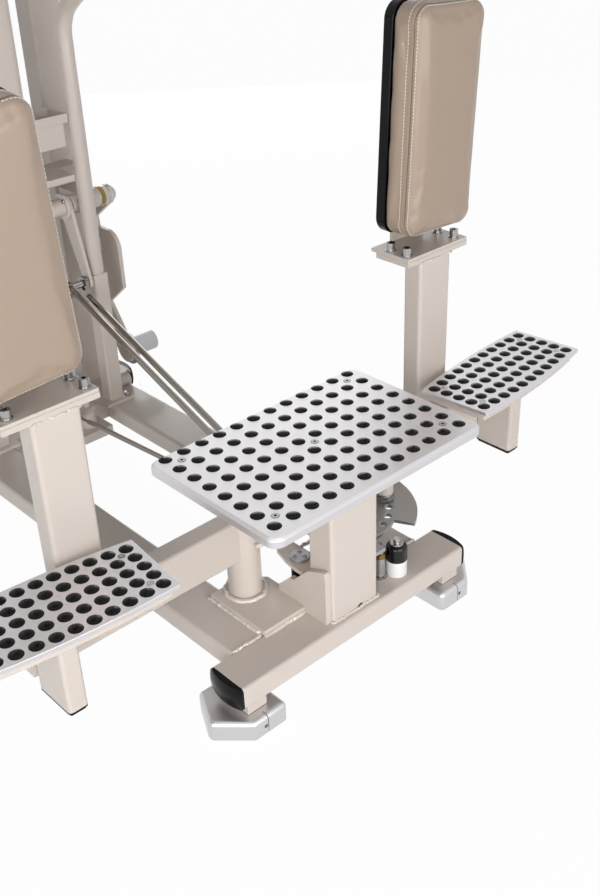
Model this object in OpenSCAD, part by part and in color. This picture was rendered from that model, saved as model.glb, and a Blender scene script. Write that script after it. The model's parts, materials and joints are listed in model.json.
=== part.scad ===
// Standing adductor: a floor frame, two swinging arms and a rocking lever.
// All lengths are in millimetres and all angles in degrees. +Z is up and the user faces +Y.
// Plan positions are measured from the middle of the platform's stud grid.

/* [Part] */
// Sub-part to draw

/* [Floor frame] */
// Half length of the cross tubes
cross_half_length = 284; // [260:1:320]
// Depth of the cross tubes
cross_depth = 85; // [70:1:100]
// Height of the cross tubes
cross_height = 47; // [40:1:60]
// Front face of the front cross tube
cross_front_y = -112; // [-130:1:-100]
// Underside of the cross tubes above the floor
cross_floor_gap = 59; // [50:1:80]
// Front face of the rear cross tube
rear_cross_y = 1010; // [960:1:1060]
// Width of each base beam
beam_width = 103; // [80:1:120]
// Inner face of each base beam
beam_inner_x = 137; // [120:1:150]
// Height of the base beams
beam_height = 45; // [35:1:50]
// Wall of the tubes
tube_wall = 3; // [2:0.5:5]
// Corner radius of the tubes
tube_corner = 7; // [3:0.5:12]
// Bulge of the end caps
cap_bulge = 12; // [6:1:16]
// Rim of the end caps
cap_rim = 3; // [2:0.5:5]

/* [Feet] */
// Length of each cast foot
foot_length = 130; // [110:1:150]
// Depth of each cast foot
foot_depth = 132; // [110:1:150]
// Height of the foot casting
foot_height = 39; // [30:1:45]
// Outer end of each foot
foot_outer_x = 335; // [310:1:360]
// Corner cut of each foot
foot_chamfer = 54; // [30:1:70]
// Slope of the feet's top edge
foot_bevel = 9; // [3:1:14]
// Width of the leg block above each foot
leg_block_width = 43; // [30:1:60]
// Set screw radius in the feet
set_screw_radius = 6; // [4:0.5:8]

/* [Pivots] */
// Distance of each arm pivot from the middle
pivot_x = 113; // [100:1:130]
// Position of the arm pivots along the depth
pivot_y = 81; // [70:1:95]
// Outer radius of the hub tubes
hub_radius = 32; // [28:0.5:40]
// Radius of the pivot shafts
shaft_radius = 20; // [16:0.5:24]
// Running clearance of the shafts
running_gap = 0.05; // [0.02:0.01:0.1]
// Thickness of the pivot plates
pivot_plate_thickness = 12; // [8:1:16]
// Length of the hub tubes
hub_length = 175; // [150:1:200]
// Thickness of the bushes
bush_thickness = 4; // [2:0.5:6]

/* [Platform] */
// Width of the platform
platform_width = 500; // [460:1:540]
// Depth of the platform
platform_depth = 330; // [310:1:350]
// Height of the platform above the floor
platform_height = 425; // [400:1:450]
// Depth of the platform's rim
rim_depth = 18; // [12:1:24]
// Thickness of the platform's plate
platform_skin = 8; // [6:1:10]
// Corner radius of the platform
platform_corner = 22; // [10:1:40]
// Slope of the platform's edge
platform_bevel = 5; // [2:0.5:8]
// Distance between the studs
stud_pitch = 40; // [38:0.5:42]
// Radius of the studs
stud_radius = 12.2; // [10:0.1:14]
// Height of the studs
stud_height = 3.5; // [2:0.1:5]
// Radius of the plate screws
plate_screw_radius = 6.5; // [4:0.5:8]
// Width of the main post
post_width = 116; // [100:1:130]
// Depth of the main post
post_depth = 60; // [50:1:70]
// Front face of the main post
post_front_y = -97; // [-105:1:-90]

/* [Arms] */
// Height of the arm bars
bar_height = 90; // [70:1:100]
// Depth of the arm bars
bar_depth = 44; // [36:1:50]
// Underside of the arm bars
bar_bottom_z = 204; // [195:1:215]
// Outer end of the arm bars
bar_end_x = 565; // [550:1:580]
// Width of the arm posts
arm_post_width = 88; // [70:1:100]
// Centre of the arm posts
arm_post_x = 430; // [410:1:450]
// Top of the arm posts
arm_post_top = 613; // [580:1:640]
// Thickness of the post's top plate
top_plate_thickness = 10; // [6:1:14]
// Width of the foot plate stubs
stub_width = 36; // [30:1:44]
// Inner face of the foot plate stubs
stub_x = 526; // [510:1:540]
// Depth of the foot plate stubs
stub_depth = 89; // [70:1:95]
// Bottom of the foot plate stubs
stub_bottom_z = 185; // [175:1:200]

/* [Foot plates] */
// Length of each foot plate
step_length = 350; // [320:1:380]
// Depth of each foot plate at its ends
step_depth = 152; // [140:1:170]
// Bulge of each long edge
step_bulge = 10; // [4:1:16]
// Height of the foot plates above the arm bars
step_rise = 71; // [51:1:91]
// Thickness of the foot plates
step_thickness = 8; // [6:1:12]
// Centre of each foot plate from the middle
step_x = 535; // [520:1:550]
// Centre of each foot plate along the depth
step_y = 7; // [0:1:15]
// Turn of each foot plate
step_turn = 5.7; // [0:0.1:10]
// Distance between the studs of a foot plate
step_pitch = 31; // [29:0.5:33]

/* [Cushions] */
// Width of each cushion
cushion_width = 192; // [170:1:210]
// Height of each cushion
cushion_height = 425; // [380:1:440]
// Thickness of each cushion
cushion_depth = 66; // [50:1:80]
// Thickness of the boards
board_thickness = 22; // [15:1:28]
// Bottom of the cushions above the floor
cushion_bottom_z = 654; // [650:1:690]
// Centre of each cushion at its bottom
cushion_x = 447.5; // [430:1:470]
// Front face of the cushions
cushion_front_y = 105; // [95:1:120]
// Outward lean of the cushions
cushion_lean = 3.2; // [0:0.1:6]
// Corner radius of the cushions
cushion_corner = 35; // [20:1:50]
// Crown of the cushion's middle
cushion_crown = 5; // [2:0.5:8]
// Draw-in of the cushion's sides
cushion_waist = 4; // [2:0.5:8]
// Width of the sewn channel
channel_width = 5; // [3:0.5:8]

/* [Drive] */
// Crank radius of the drive rods
crank_radius = 105; // [100:1:110]
// Angle of the cranks at rest
crank_angle = 31; // [25:0.5:35]
// Radius of the drive rods
rod_radius = 7; // [5:0.5:9]
// Underside of the lower drive crank
crank_bottom_z = 198; // [194:1:220]
// Height between the two drive cranks
crank_rise = 33; // [26:1:36]
// Thickness of the cranks
crank_thickness = 8; // [6:1:10]
// Radius of the crank pins
crank_pin_radius = 8; // [6:0.5:10]
// Thickness of the rod eyes
eye_thickness = 12; // [10:1:14]
// Outer radius of the rod eyes
eye_radius = 15; // [13:0.5:18]
// Height of the lever's axis
lever_z = 600; // [580:1:620]
// Position of the lever's axis along the depth
lever_y = 952; // [940:1:960]
// Drop of the rod pin below the lever's axis
lever_drop = 169; // [150:1:190]
// Radius of the lever's shaft
lever_shaft_radius = 13; // [10:0.5:16]
// Outer radius of the lever's housing
lever_housing_radius = 22; // [20:0.5:26]
// Thickness of the weight plate
weight_plate_thickness = 10; // [8:1:14]
// Inner face of the weight plate
weight_plate_x = 238; // [237:1:246]
// Radius of the weight horn
horn_radius = 25; // [20:0.5:26]
// Length of the weight horn
horn_length = 72; // [60:1:200]
// Radius of the flange behind the weight horn
horn_flange_radius = 42; // [36:1:48]
// Height of the weight horn
horn_z = 200; // [190:1:215]
// Crank radius of the lower link
link_radius = 56; // [50:1:60]
// Underside of the lower link's crank
link_bottom_z = 150; // [146:1:154]
// Radius of the lower rod
link_rod_radius = 6; // [4:0.5:8]
// Pin of the lower link at the idler, across
link_far_x = -5; // [-20:1:10]
// Pin of the lower link at the idler, along the depth
link_far_y = 812; // [790:1:830]

/* [Index plate] */
// Outer radius of the index plate
index_radius = 168; // [160:1:175]
// Small radius of the index plate beside the bump stop
index_inner_radius = 127; // [124:1:130]
// Underside of the index plate
index_bottom_z = 181; // [178:1:185]
// Thickness of the index plate
index_thickness = 8; // [6:1:10]
// Distance of the pull pin from the pivot, across
pin_reach_x = 100; // [95:1:105]
// Distance of the pull pin from the pivot, along the depth
pin_reach_y = 50; // [45:1:55]
// Radius of the pull pin
pin_radius = 7; // [5:0.5:8]
// Angle between the index holes
index_step = 15.5; // [15:0.5:16]
// Swing of the arms
arm_swing = 62; // [58:1:62]

/* [Bump stop] */
// Distance of the bump stop from the middle
bump_x = 134; // [130:1:140]
// Position of the bump stop along the depth
bump_y = -74; // [-78:1:-70]
// Radius of the bump stop's rubber
bump_radius = 20.5; // [18:0.5:22]
// Height of the bump stop's base
bump_base_height = 34; // [30:1:38]

/* [Column] */
// Half width of the centre column
column_half_width = 50; // [40:1:50]
// Depth of the centre column
column_depth = 100; // [80:1:110]
// Front face of the centre column
column_front_y = 905; // [895:1:915]
// Top of the centre column
column_top = 1400; // [1300:5:1500]
// Inner face of the uprights
upright_x = 155; // [150:1:165]
// Width of the uprights
upright_width = 80; // [70:1:90]
// Depth of the uprights
upright_depth = 60; // [50:1:66]
// Front face of the uprights
upright_y = 1026; // [1022:1:1030]
// Underside of the tray
tray_z = 795; // [780:1:820]
// Depth of the tray's lip
tray_lip = 20; // [12:1:30]

/* [Handles] */
// Distance of the handles from the middle
handle_x = 160; // [158:1:164]
// Position of the handle posts along the depth
handle_y = 908; // [900:1:910]
// Radius of the handle tubes
handle_radius = 18; // [16:0.5:20]
// Height of the handle's bend
handle_bend_z = 965; // [940:1:1000]
// Rise of the sloping part
handle_slope = 34; // [25:1:40]
// Length of the sloping part
handle_run = 250; // [200:5:300]
// Length of the grips
grip_length = 130; // [110:1:150]
// Bend radius of the handle tubes
handle_bend_radius = 90; // [70:1:120]
// Height of the handle's square post
handle_post_top = 440; // [400:5:480]

/* [Hidden] */
$fn = 48;
cream = [0.80, 0.76, 0.71];
silver = [0.80, 0.81, 0.82];
black = [0.05, 0.05, 0.05];
chrome = [0.75, 0.76, 0.78];
taupe = [0.62, 0.55, 0.48];
white = [0.86, 0.84, 0.80];

// Space left between a piece and its seat
gap = 0.3;

// Levels and faces that follow from the sizes above
cross_back_y = cross_front_y + cross_depth;
cross_top_z = cross_floor_gap + cross_height;
beam_bottom_z = cross_top_z - beam_height;
beam_outer_x = beam_inner_x + beam_width;
rear_cross_back_y = rear_cross_y + cross_depth;
foot_inner_x = foot_outer_x - foot_length;
foot_overhang = 20;
front_foot_y = cross_front_y - foot_overhang;
rear_foot_y = rear_cross_back_y + foot_overhang;
leg_outer_x = cross_half_length - 9;
leg_inner_x = leg_outer_x - leg_block_width;
block_inset = 4;
slit_width = 4;
slit_depth = 14;
set_screw_depth = 8;
set_screw_x = 270;

// Pivots
plate_inner_x = post_width / 2 + gap;
plate_outer_x = 169;
plate_back_y = 116;
plate_front_y = -35;
plate_chamfer = 36;
plate_top_z = cross_top_z + pivot_plate_thickness;
hub_bottom_z = plate_top_z + bush_thickness;
hub_top_z = hub_bottom_z + hub_length;
shaft_bore = shaft_radius + running_gap;
boss_half = 36;
weld_radius = 5;
cap_plate = 5;
washer_thickness = 3;
pivot_cap_radius = 28;
pivot_nut_radius = 15;
pivot_nut_height = 9;

// Platform
platform_mid_y = -9;
platform_front_y = platform_mid_y - platform_depth / 2;
mid_y = (min(front_foot_y, platform_front_y) + rear_foot_y) / 2;
platform_bottom_z = platform_height - rim_depth;
platform_under_z = platform_height - platform_skin;
platform_wall = 9;
stud_columns = 12;
stud_rows = 8;
screw_reach_x = 200;
screw_reach_y = 120;
screw_sink = 0.6;
hex_radius = 2.6;
hex_depth = 2;
post_top_z = platform_under_z - 8;
saddle_half_x = 190;
saddle_front_y = -150;
saddle_back_y = 120;
rib_height = 40;
rib_thickness = 6;
rib_half_x = 110;
gusset_thickness = 12;
gusset_back_y = 34;
gusset_height = 57;
gusset_cut = 30;
weep_radius = 8;
weep_x = 12;

// Arms
bar_front_y = pivot_y - bar_depth / 2;
bar_back_y = pivot_y + bar_depth / 2;
bar_top_z = bar_bottom_z + bar_height;
top_plate_z = arm_post_top + top_plate_thickness;
top_plate_inner_x = 350;
top_plate_outer_x = 521;
bracket_thickness = 7;
bracket_half_x = 45;
bracket_height = 175;
bracket_top_z = top_plate_z + bracket_thickness;
bolt_inner_x = 365;
bolt_outer_x = 501;
bolt_front_y = 120;
bolt_back_y = 162;
bolt_head_radius = 8.5;
bolt_head_height = 14;
bolt_washer_radius = 10.5;
bolt_washer_height = 2.5;
stub_back_y = bar_front_y;
stub_front_y = stub_back_y - stub_depth;
plug_height = 8;
step_height = bar_top_z + step_rise;
step_bottom_z = step_height - step_thickness;
carrier_height = 18;
carrier_inset = 11;
carrier_bottom_z = step_bottom_z - carrier_height;
carrier_wall = 4;
step_corner = 14;
step_columns = 11;
step_rows = 5;
step_end_share = 0.935;
step_rise_share = 0.149;
step_screw_x = 4.5 * step_pitch;
step_screw_y = 1.5 * step_pitch * (step_end_share + step_rise_share / 5);

// Cushions
board_front_y = cushion_front_y + cushion_depth + gap;
board_back_y = board_front_y + board_thickness;
bracket_back_y = board_back_y + gap + bracket_thickness;
board_inset = 1;
seam_setback = 16;

// Drive
crank_side = crank_radius * cos(crank_angle);
crank_back = crank_radius * sin(crank_angle);
rod_pin_x = pivot_x - crank_side;
rod_pin_y = pivot_y - crank_back;
lever_reach = sqrt(crank_back * crank_back + lever_drop * lever_drop);
lever_pin_y = lever_y - crank_back;
lever_pin_z = lever_z - lever_drop;
eye_bore = crank_pin_radius + running_gap;
lever_left_eye_x = 76;
lever_right_eye_x = 118;
lever_left_rise = 0;
lever_right_rise = -30;
lever_eye_half = 4;
lever_eye_slack_y = 1.6;
lever_eye_slack_z = 4.8;
lever_eye_side = 14;
lever_pin_radius = 8;
fork_left_x = 60;
fork_right_x = 126;
fork_thickness = 8;
fork_lobe = 26;
fork_tip = 15;
sleeve_radius = 20;
housing_left_x = fork_right_x + fork_thickness + 4.3;
housing_right_x = 214;
bearing_half_y = 36;
bearing_half_z = 44;
bearing_thickness = 8;
lever_shaft_start_x = column_half_width + gap;
lever_shaft_end_x = weight_plate_x + weight_plate_thickness + 4 * washer_thickness;
lever_bore = lever_shaft_radius + running_gap;
weight_lobe = 23;
neck_knee_y = 1030;
neck_knee_z = 545;
horn_lobe = 34;
wide_front_y = 925;
wide_back_y = 1077;
wide_top_z = 510;
wide_bottom_z = 372;
wide_corner = 40;
neck_front_y = 995;
neck_top_z = 315;
slot_y = 1001;
slot_z = 462;
slot_half = 12;
slot_radius = 6;
horn_y = 950;
horn_flange_thickness = 6;
link_side = link_radius * cos(crank_angle);
link_back = link_radius * sin(crank_angle);
link_pin_x = pivot_x - link_side;
link_pin_y = pivot_y - link_back;
idler_x = link_far_x + link_side;
idler_y = link_far_y + link_back;
link_pin_radius = 7;
link_eye_radius = 12;
link_thickness = 8;
link_eye_z = link_bottom_z + link_thickness + gap;
finger_angle = -8.2;
finger_half = 12;
finger_thickness = 15;
finger_reach = 166;
idler_stud_radius = 10;
web_share = 0.95;
link_neck_radius = 3.6;

// Index plate and pull pin
index_top_z = index_bottom_z + index_thickness;
index_first = -8;
index_last = -116;
index_narrow = -62;
index_bore = 46;
pin_x = pivot_x + pin_reach_x;
pin_y = pivot_y - pin_reach_y;
pin_circle = sqrt(pin_reach_x * pin_reach_x + pin_reach_y * pin_reach_y);
pin_bearing = -atan2(pin_reach_y, pin_reach_x);
index_hole = pin_radius + 1;
index_holes = 5;
sleeve_bottom_z = index_top_z + 3;
pin_sleeve_radius = 16.5;
pin_sleeve_top = 250;
pin_bottom_z = index_top_z + 1.5;
pin_top_z = 276;
knob_radius = 14;
knob_height = 26;

// Bump stop
bump_base_top = cross_top_z + bump_base_height;
bump_rubber_height = 34;
bump_round = 7;

// Column
tray_wall = 4;
tray_front_y = 905;
tray_back_y = 985;
tray_side_x = 140;
tray_box_height = 52;
shelf_z = 665;
shelf_thickness = 15;
tie_half_depth = 50;
head_height = 40;
stub_tube_radius = 17.5;
stub_tube_end = 236;
stub_tube_y = 952;
stub_tube_z = cross_top_z + stub_tube_radius - 1;
handle_post_side = 40;
flange_half_x = 37;
flange_half_y = 34;
flange_thickness = 8;
frame_bolt_radius = 8;
frame_bolt_height = 9;

// Moves the part so that the middle of its footprint is the origin
module place() {
    translate([0, -mid_y, 0]) children();
}

// Puts a right-hand shape on the left as well
module both() {
    children();
    mirror([1, 0, 0]) children();
}

module left_side() {
    mirror([1, 0, 0]) children();
}

// A box between two corners
module span(low, high) {
    translate(low) cube(high - low);
}

module rounded_rectangle(width, depth, corner) {
    square([width - 2 * corner, depth], center = true);
    square([width, depth - 2 * corner], center = true);
    for (x = [-1, 1], y = [-1, 1])
        translate([x * (width / 2 - corner), y * (depth / 2 - corner)]) circle(corner);
}

// A rectangular tube along Z, centred on X and Y
module rectangular_tube(width, depth, length, wall, corner) {
    inner = max(corner - wall, 1);
    linear_extrude(length) difference() {
        rounded_rectangle(width, depth, corner);
        rounded_rectangle(width - 2 * wall, depth - 2 * wall, inner);
    }
}

// The same tube laid along X
module tube_along_x(depth, height, length, wall, corner) {
    rotate([90, 0, 90]) rectangular_tube(depth, height, length, wall, corner);
}

// The same tube laid along Y
module tube_along_y(width, height, length, wall, corner) {
    translate([0, length, 0]) rotate([90, 0, 0]) rectangular_tube(width, height, length, wall, corner);
}

module ring(outer, inner, height) {
    difference() {
        cylinder(h = height, r = outer);
        translate([0, 0, -1]) cylinder(h = height + 2, r = inner);
    }
}

module ring_along_x(outer, inner, length) {
    rotate([0, 90, 0]) ring(outer, inner, length);
}

// A round bar between two points
module bar_between(from, to, radius) {
    step = to - from;
    length = norm(step);
    translate(from) rotate([0, acos(step[2] / length), atan2(step[1], step[0])])
        cylinder(h = length, r = radius);
}

// A domed stud standing on a plate
module stud() {
    dome = (stud_radius * stud_radius + stud_height * stud_height) / (2 * stud_height);
    rotate_extrude($fn = 24) intersection() {
        translate([0, stud_height - dome]) circle(dome, $fn = 96);
        square([stud_radius, stud_height]);
    }
}

// A socket head screw with its washer, standing on a face
module socket_screw() {
    cylinder(h = bolt_washer_height, r = bolt_washer_radius);
    difference() {
        cylinder(h = bolt_washer_height + bolt_head_height, r = bolt_head_radius);
        translate([0, 0, bolt_washer_height + bolt_head_height / 2])
            cylinder(h = bolt_head_height, r = bolt_head_radius / 2, $fn = 6);
    }
}

// A flat plate screw, its head just above the plate
module plate_screw() {
    difference() {
        cylinder(h = screw_sink, r = plate_screw_radius);
        translate([0, 0, screw_sink / 2]) cylinder(h = hex_depth, r = hex_radius, $fn = 6);
    }
}

// Frame

module cross_tube(front_y) {
    translate([-cross_half_length, front_y + cross_depth / 2, cross_floor_gap + cross_height / 2])
        tube_along_x(cross_depth, cross_height, 2 * cross_half_length, tube_wall, tube_corner);
}

module leg_blocks() {
    color(cream) place() both() for (front_y = [cross_front_y, rear_cross_y])
        span([leg_inner_x, front_y + block_inset, foot_height],
            [leg_outer_x, front_y + cross_depth - block_inset, cross_floor_gap]);
}

module front_cross_tube() {
    color(cream) place() cross_tube(cross_front_y);
}

module rear_cross_tube() {
    color(cream) place() cross_tube(rear_cross_y);
}

// One end cap: a rim and a shallow dome cut from a ball
module end_cap(depth, height) {
    reach = sqrt(depth * depth + height * height) / 2;
    ball = (reach * reach + cap_bulge * cap_bulge) / (2 * cap_bulge);
    rotate([0, 90, 0]) {
        linear_extrude(cap_rim) rounded_rectangle(height, depth, tube_corner);
        translate([0, 0, cap_rim]) intersection() {
            linear_extrude(cap_bulge) rounded_rectangle(height, depth, tube_corner);
            translate([0, 0, cap_bulge - ball]) sphere(ball, $fn = 128);
        }
    }
}

module cross_tube_caps() {
    color(black) place() {
        both() for (front_y = [cross_front_y, rear_cross_y])
            translate([cross_half_length, front_y + cross_depth / 2, cross_floor_gap + cross_height / 2])
                end_cap(cross_depth, cross_height);
        both() translate([stub_tube_end, stub_tube_y, stub_tube_z]) rotate([0, 90, 0])
            cylinder(h = cap_rim, r = stub_tube_radius);
    }
}

// One foot, its cut corner towards -Y and the outside
module cast_foot() {
    module plan(inset) {
        polygon([
            [inset, inset], [foot_length - foot_chamfer - inset / 2, inset],
            [foot_length - inset, foot_chamfer + inset / 2], [foot_length - inset, foot_depth - inset],
            [inset, foot_depth - inset]
        ]);
    }
    difference() {
        union() {
            linear_extrude(foot_height - foot_bevel) plan(0);
            intersection() {
                translate([0, 0, foot_height - foot_bevel]) linear_extrude(foot_bevel) plan(0);
                foot_crown();
            }
        }
        translate([set_screw_x - foot_inner_x, -1, foot_height / 2]) rotate([-90, 0, 0])
            cylinder(h = set_screw_depth + 1, r = set_screw_radius);
        translate([set_screw_x - foot_inner_x - slit_width / 2, -1, foot_height / 2])
            cube([slit_width, slit_depth + 1, foot_height]);
    }
}

// The sloping sides that bevel a foot's top edge
module foot_crown() {
    low = foot_height - foot_bevel;
    run = foot_length;
    intersection() {
        translate([0, foot_depth, 0]) rotate([90, 0, 0]) linear_extrude(foot_depth)
            polygon([[0, low], [foot_bevel, foot_height], [run - foot_bevel, foot_height], [run, low]]);
        rotate([90, 0, 90]) linear_extrude(run) polygon([
            [0, low], [foot_bevel, foot_height], [foot_depth - foot_bevel, foot_height], [foot_depth, low]
        ]);
    }
}

module cast_feet() {
    color(silver) place() both() {
        translate([foot_inner_x, front_foot_y, 0]) cast_foot();
        translate([foot_inner_x, rear_foot_y, 0]) mirror([0, 1, 0]) cast_foot();
    }
}

module base_beams() {
    beam_mid = beam_inner_x + beam_width / 2;
    level = beam_bottom_z + beam_height / 2;
    color(cream) place() {
        both() {
            translate([beam_mid, cross_back_y, level])
                tube_along_y(beam_width, beam_height, rear_cross_y - cross_back_y, tube_wall, tube_corner);
            translate([beam_outer_x - 2 * stub_tube_radius, stub_tube_y, stub_tube_z])
                ring_along_x(stub_tube_radius, stub_tube_radius - tube_wall,
                    stub_tube_end - beam_outer_x + 2 * stub_tube_radius);
        }
        translate([-beam_inner_x, column_front_y + column_depth / 2, level])
            tube_along_x(column_depth, beam_height, 2 * beam_inner_x, tube_wall, tube_corner);
    }
}

module pivot_plates() {
    bead_x = plate_inner_x + gusset_thickness + 2 * gap;
    color(cream) place() both() {
        translate([0, 0, cross_top_z]) difference() {
            linear_extrude(pivot_plate_thickness) polygon([
                [plate_inner_x, plate_front_y], [plate_outer_x, plate_front_y],
                [plate_outer_x, plate_back_y], [plate_inner_x + plate_chamfer, plate_back_y],
                [plate_inner_x, plate_back_y - plate_chamfer]
            ]);
            translate([pivot_x, pivot_y, -1]) cylinder(h = pivot_plate_thickness + 2, r = shaft_radius);
        }
        translate([bead_x, plate_front_y, cross_top_z]) rotate([0, 90, 0]) difference() {
            cylinder(h = plate_outer_x - bead_x, r = weld_radius);
            translate([0, -weld_radius - 1, -1])
                cube([weld_radius + 1, 2 * weld_radius + 2, plate_outer_x - bead_x + 2]);
        }
    }
}

module pivot_shafts() {
    color(silver) place() both() translate([pivot_x, pivot_y, 0]) {
        translate([0, 0, cross_top_z]) cylinder(h = hub_top_z + gap - cross_top_z, r = shaft_radius);
        translate([0, 0, hub_top_z + gap]) cylinder(h = cap_plate, r = pivot_cap_radius);
        translate([0, 0, hub_top_z + gap + cap_plate]) cylinder(h = pivot_nut_height, r = pivot_nut_radius, $fn = 6);
    }
}

module main_post() {
    mid = post_front_y + post_depth / 2;
    color(cream) place() {
        difference() {
            translate([0, mid, cross_top_z])
                rectangular_tube(post_width, post_depth, post_top_z - cross_top_z, tube_wall, tube_corner);
            translate([weep_x, post_front_y - 1, cross_top_z]) rotate([-90, 0, 0])
                cylinder(h = tube_wall + 2, r = weep_radius);
        }
        translate([-post_width / 2 - gusset_thickness, 0, cross_top_z]) rotate([90, 0, 90])
            linear_extrude(gusset_thickness) polygon([
                [post_front_y + tube_corner, 0], [plate_front_y - gap, 0],
                [plate_front_y - gap, pivot_plate_thickness], [gusset_back_y, pivot_plate_thickness],
                [gusset_back_y, gusset_height - gusset_cut], [gusset_back_y - gusset_cut, gusset_height],
                [post_front_y + tube_corner, gusset_height]
            ]);
    }
}

module platform_saddle() {
    color(cream) place() {
        span([-saddle_half_x, saddle_front_y, post_top_z], [saddle_half_x, saddle_back_y, platform_under_z]);
        both() translate([rib_half_x / 2 - 2 * rib_thickness, post_front_y + post_depth, post_top_z - rib_height])
            rotate([90, 0, 90]) linear_extrude(rib_thickness)
                polygon([[0, 0], [rib_thickness, 0], [2 * rib_height, rib_height], [0, rib_height]]);
    }
}

// The bevelled plate: a skin with a rim around its underside
module platform_plate() {
    color(silver) place() translate([0, platform_mid_y, platform_bottom_z]) difference() {
        union() {
            linear_extrude(rim_depth - platform_bevel)
                rounded_rectangle(platform_width, platform_depth, platform_corner);
            translate([0, 0, rim_depth - platform_bevel]) bevelled_slab();
        }
        translate([0, 0, -1]) linear_extrude(rim_depth - platform_skin + 1)
            rounded_rectangle(platform_width - 2 * platform_wall, platform_depth - 2 * platform_wall,
                platform_corner - platform_wall);
    }
}

// The top of the platform: two sloping slabs and four cones share the bevel
module bevelled_slab() {
    wide = platform_width;
    deep = platform_depth;
    module slab(width, depth) {
        translate([-width / 2, 0, 0]) rotate([90, 0, 90]) linear_extrude(width) polygon([
            [-depth / 2, 0], [depth / 2, 0],
            [depth / 2 - platform_bevel, platform_bevel], [-depth / 2 + platform_bevel, platform_bevel]
        ]);
    }
    slab(wide - 2 * platform_corner, deep);
    rotate([0, 0, 90]) slab(deep - 2 * platform_corner, wide);
    for (x = [-1, 1], y = [-1, 1])
        translate([x * (wide / 2 - platform_corner), y * (deep / 2 - platform_corner), 0])
            cylinder(h = platform_bevel, r1 = platform_corner, r2 = platform_corner - platform_bevel);
}

module platform_studs() {
    color(black) place() for (column = [0:stud_columns - 1], row = [0:stud_rows - 1])
        translate([(column - (stud_columns - 1) / 2) * stud_pitch,
            (row - (stud_rows - 1) / 2) * stud_pitch, platform_height]) stud();
}

module platform_screws() {
    color(chrome) place() {
        translate([0, 0, platform_height]) plate_screw();
        for (x = [-1, 1], y = [-1, 1])
            translate([x * screw_reach_x, y * screw_reach_y, platform_height]) plate_screw();
    }
}

module bump_stop_base() {
    color(white) place() translate([bump_x, bump_y, cross_top_z])
        cylinder(h = bump_base_height, r = bump_radius - gap);
}

module bump_stop_rubber() {
    color(black) place() translate([bump_x, bump_y, bump_base_top]) {
        rotate_extrude() {
            square([bump_radius, bump_rubber_height - bump_round]);
            square([bump_radius - bump_round, bump_rubber_height]);
            translate([bump_radius - bump_round, bump_rubber_height - bump_round]) intersection() {
                circle(bump_round);
                square(bump_round);
            }
        }
    }
}

// The sector is cut from a ring in two steps, so that it clears the bump stop
module index_plate() {
    module sector(from, to, radius) {
        reach = 2 * radius;
        middle = (from + to) / 2;
        polygon([
            [0, 0], [reach * cos(from), reach * sin(from)], [reach * cos(middle), reach * sin(middle)],
            [reach * cos(to), reach * sin(to)]
        ]);
    }
    color(silver) place() translate([0, 0, index_bottom_z]) difference() {
        translate([pivot_x, pivot_y, 0]) linear_extrude(index_thickness) difference() {
            union() {
                intersection() {
                    circle(index_radius, $fn = 96);
                    sector(index_first, index_narrow, index_radius);
                }
                intersection() {
                    circle(index_inner_radius, $fn = 96);
                    sector(index_narrow, index_last, index_radius);
                }
                translate([post_width / 2 + gap - pivot_x, post_front_y + post_depth / 4 - pivot_y])
                    square([plate_chamfer, post_depth]);
            }
            circle(index_bore);
            for (index = [0:index_holes - 1])
                rotate(pin_bearing - index * index_step) translate([pin_circle, 0]) circle(index_hole);
        }
        span([-pivot_x, -2 * index_radius, -1], [post_width / 2 + gap, 2 * index_radius, index_thickness + 1]);
    }
}

module centre_column() {
    color(cream) place() {
        translate([0, column_front_y + column_depth / 2, cross_top_z]) rectangular_tube(
            2 * column_half_width, column_depth, column_top - cross_top_z, tube_wall, 3 * tube_corner);
        translate([0, column_front_y + column_depth / 2, column_top])
            linear_extrude(cap_plate) rounded_rectangle(2 * column_half_width, column_depth, 3 * tube_corner);
    }
}

module uprights() {
    middle_y = upright_y + upright_depth / 2;
    color(cream) place() both() {
        translate([upright_x + upright_width / 2, middle_y, cross_top_z]) rectangular_tube(
            upright_width, upright_depth, column_top - cross_top_z, tube_wall, tube_corner);
        translate([upright_x + upright_width / 2, middle_y, column_top])
            linear_extrude(cap_plate) rounded_rectangle(upright_width, upright_depth, tube_corner);
        for (level = [shelf_z, column_top - 2 * head_height])
            span([column_half_width, upright_y - tie_half_depth, level],
                [upright_x + upright_width / 2, upright_y, level + shelf_thickness]);
    }
}

// A bent tube with its square post and foot flange
module handle() {
    bend = 90 - handle_slope;
    bend_y = handle_y - handle_bend_radius;
    end_y = bend_y + handle_bend_radius * cos(bend);
    end_z = handle_bend_z + handle_bend_radius * sin(bend);
    translate([handle_x, handle_y, cross_top_z]) {
        linear_extrude(flange_thickness) difference() {
            rounded_rectangle(2 * flange_half_x, 2 * flange_half_y, tube_wall);
            circle(handle_post_side / 4);
        }
        translate([0, 0, flange_thickness]) rectangular_tube(handle_post_side, handle_post_side,
            handle_post_top - cross_top_z - flange_thickness, tube_wall, tube_corner);
        translate([0, 0, handle_post_top - cross_top_z])
            linear_extrude(tube_wall) rounded_rectangle(handle_post_side, handle_post_side, tube_corner);
    }
    module path(radius) {
        translate([handle_x, handle_y, handle_post_top + tube_wall])
            cylinder(h = handle_bend_z - handle_post_top - tube_wall, r = radius);
        translate([handle_x, bend_y, handle_bend_z]) rotate([90, 0, 90]) rotate_extrude(angle = bend)
            translate([handle_bend_radius, 0]) circle(radius);
        translate([handle_x, end_y, end_z]) rotate([bend, 0, 0])
            cylinder(h = handle_run + grip_length, r = radius);
    }
    path(handle_radius);
}

module left_handle() {
    color(cream) place() left_side() handle();
}

module right_handle() {
    color(cream) place() handle();
}

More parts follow.
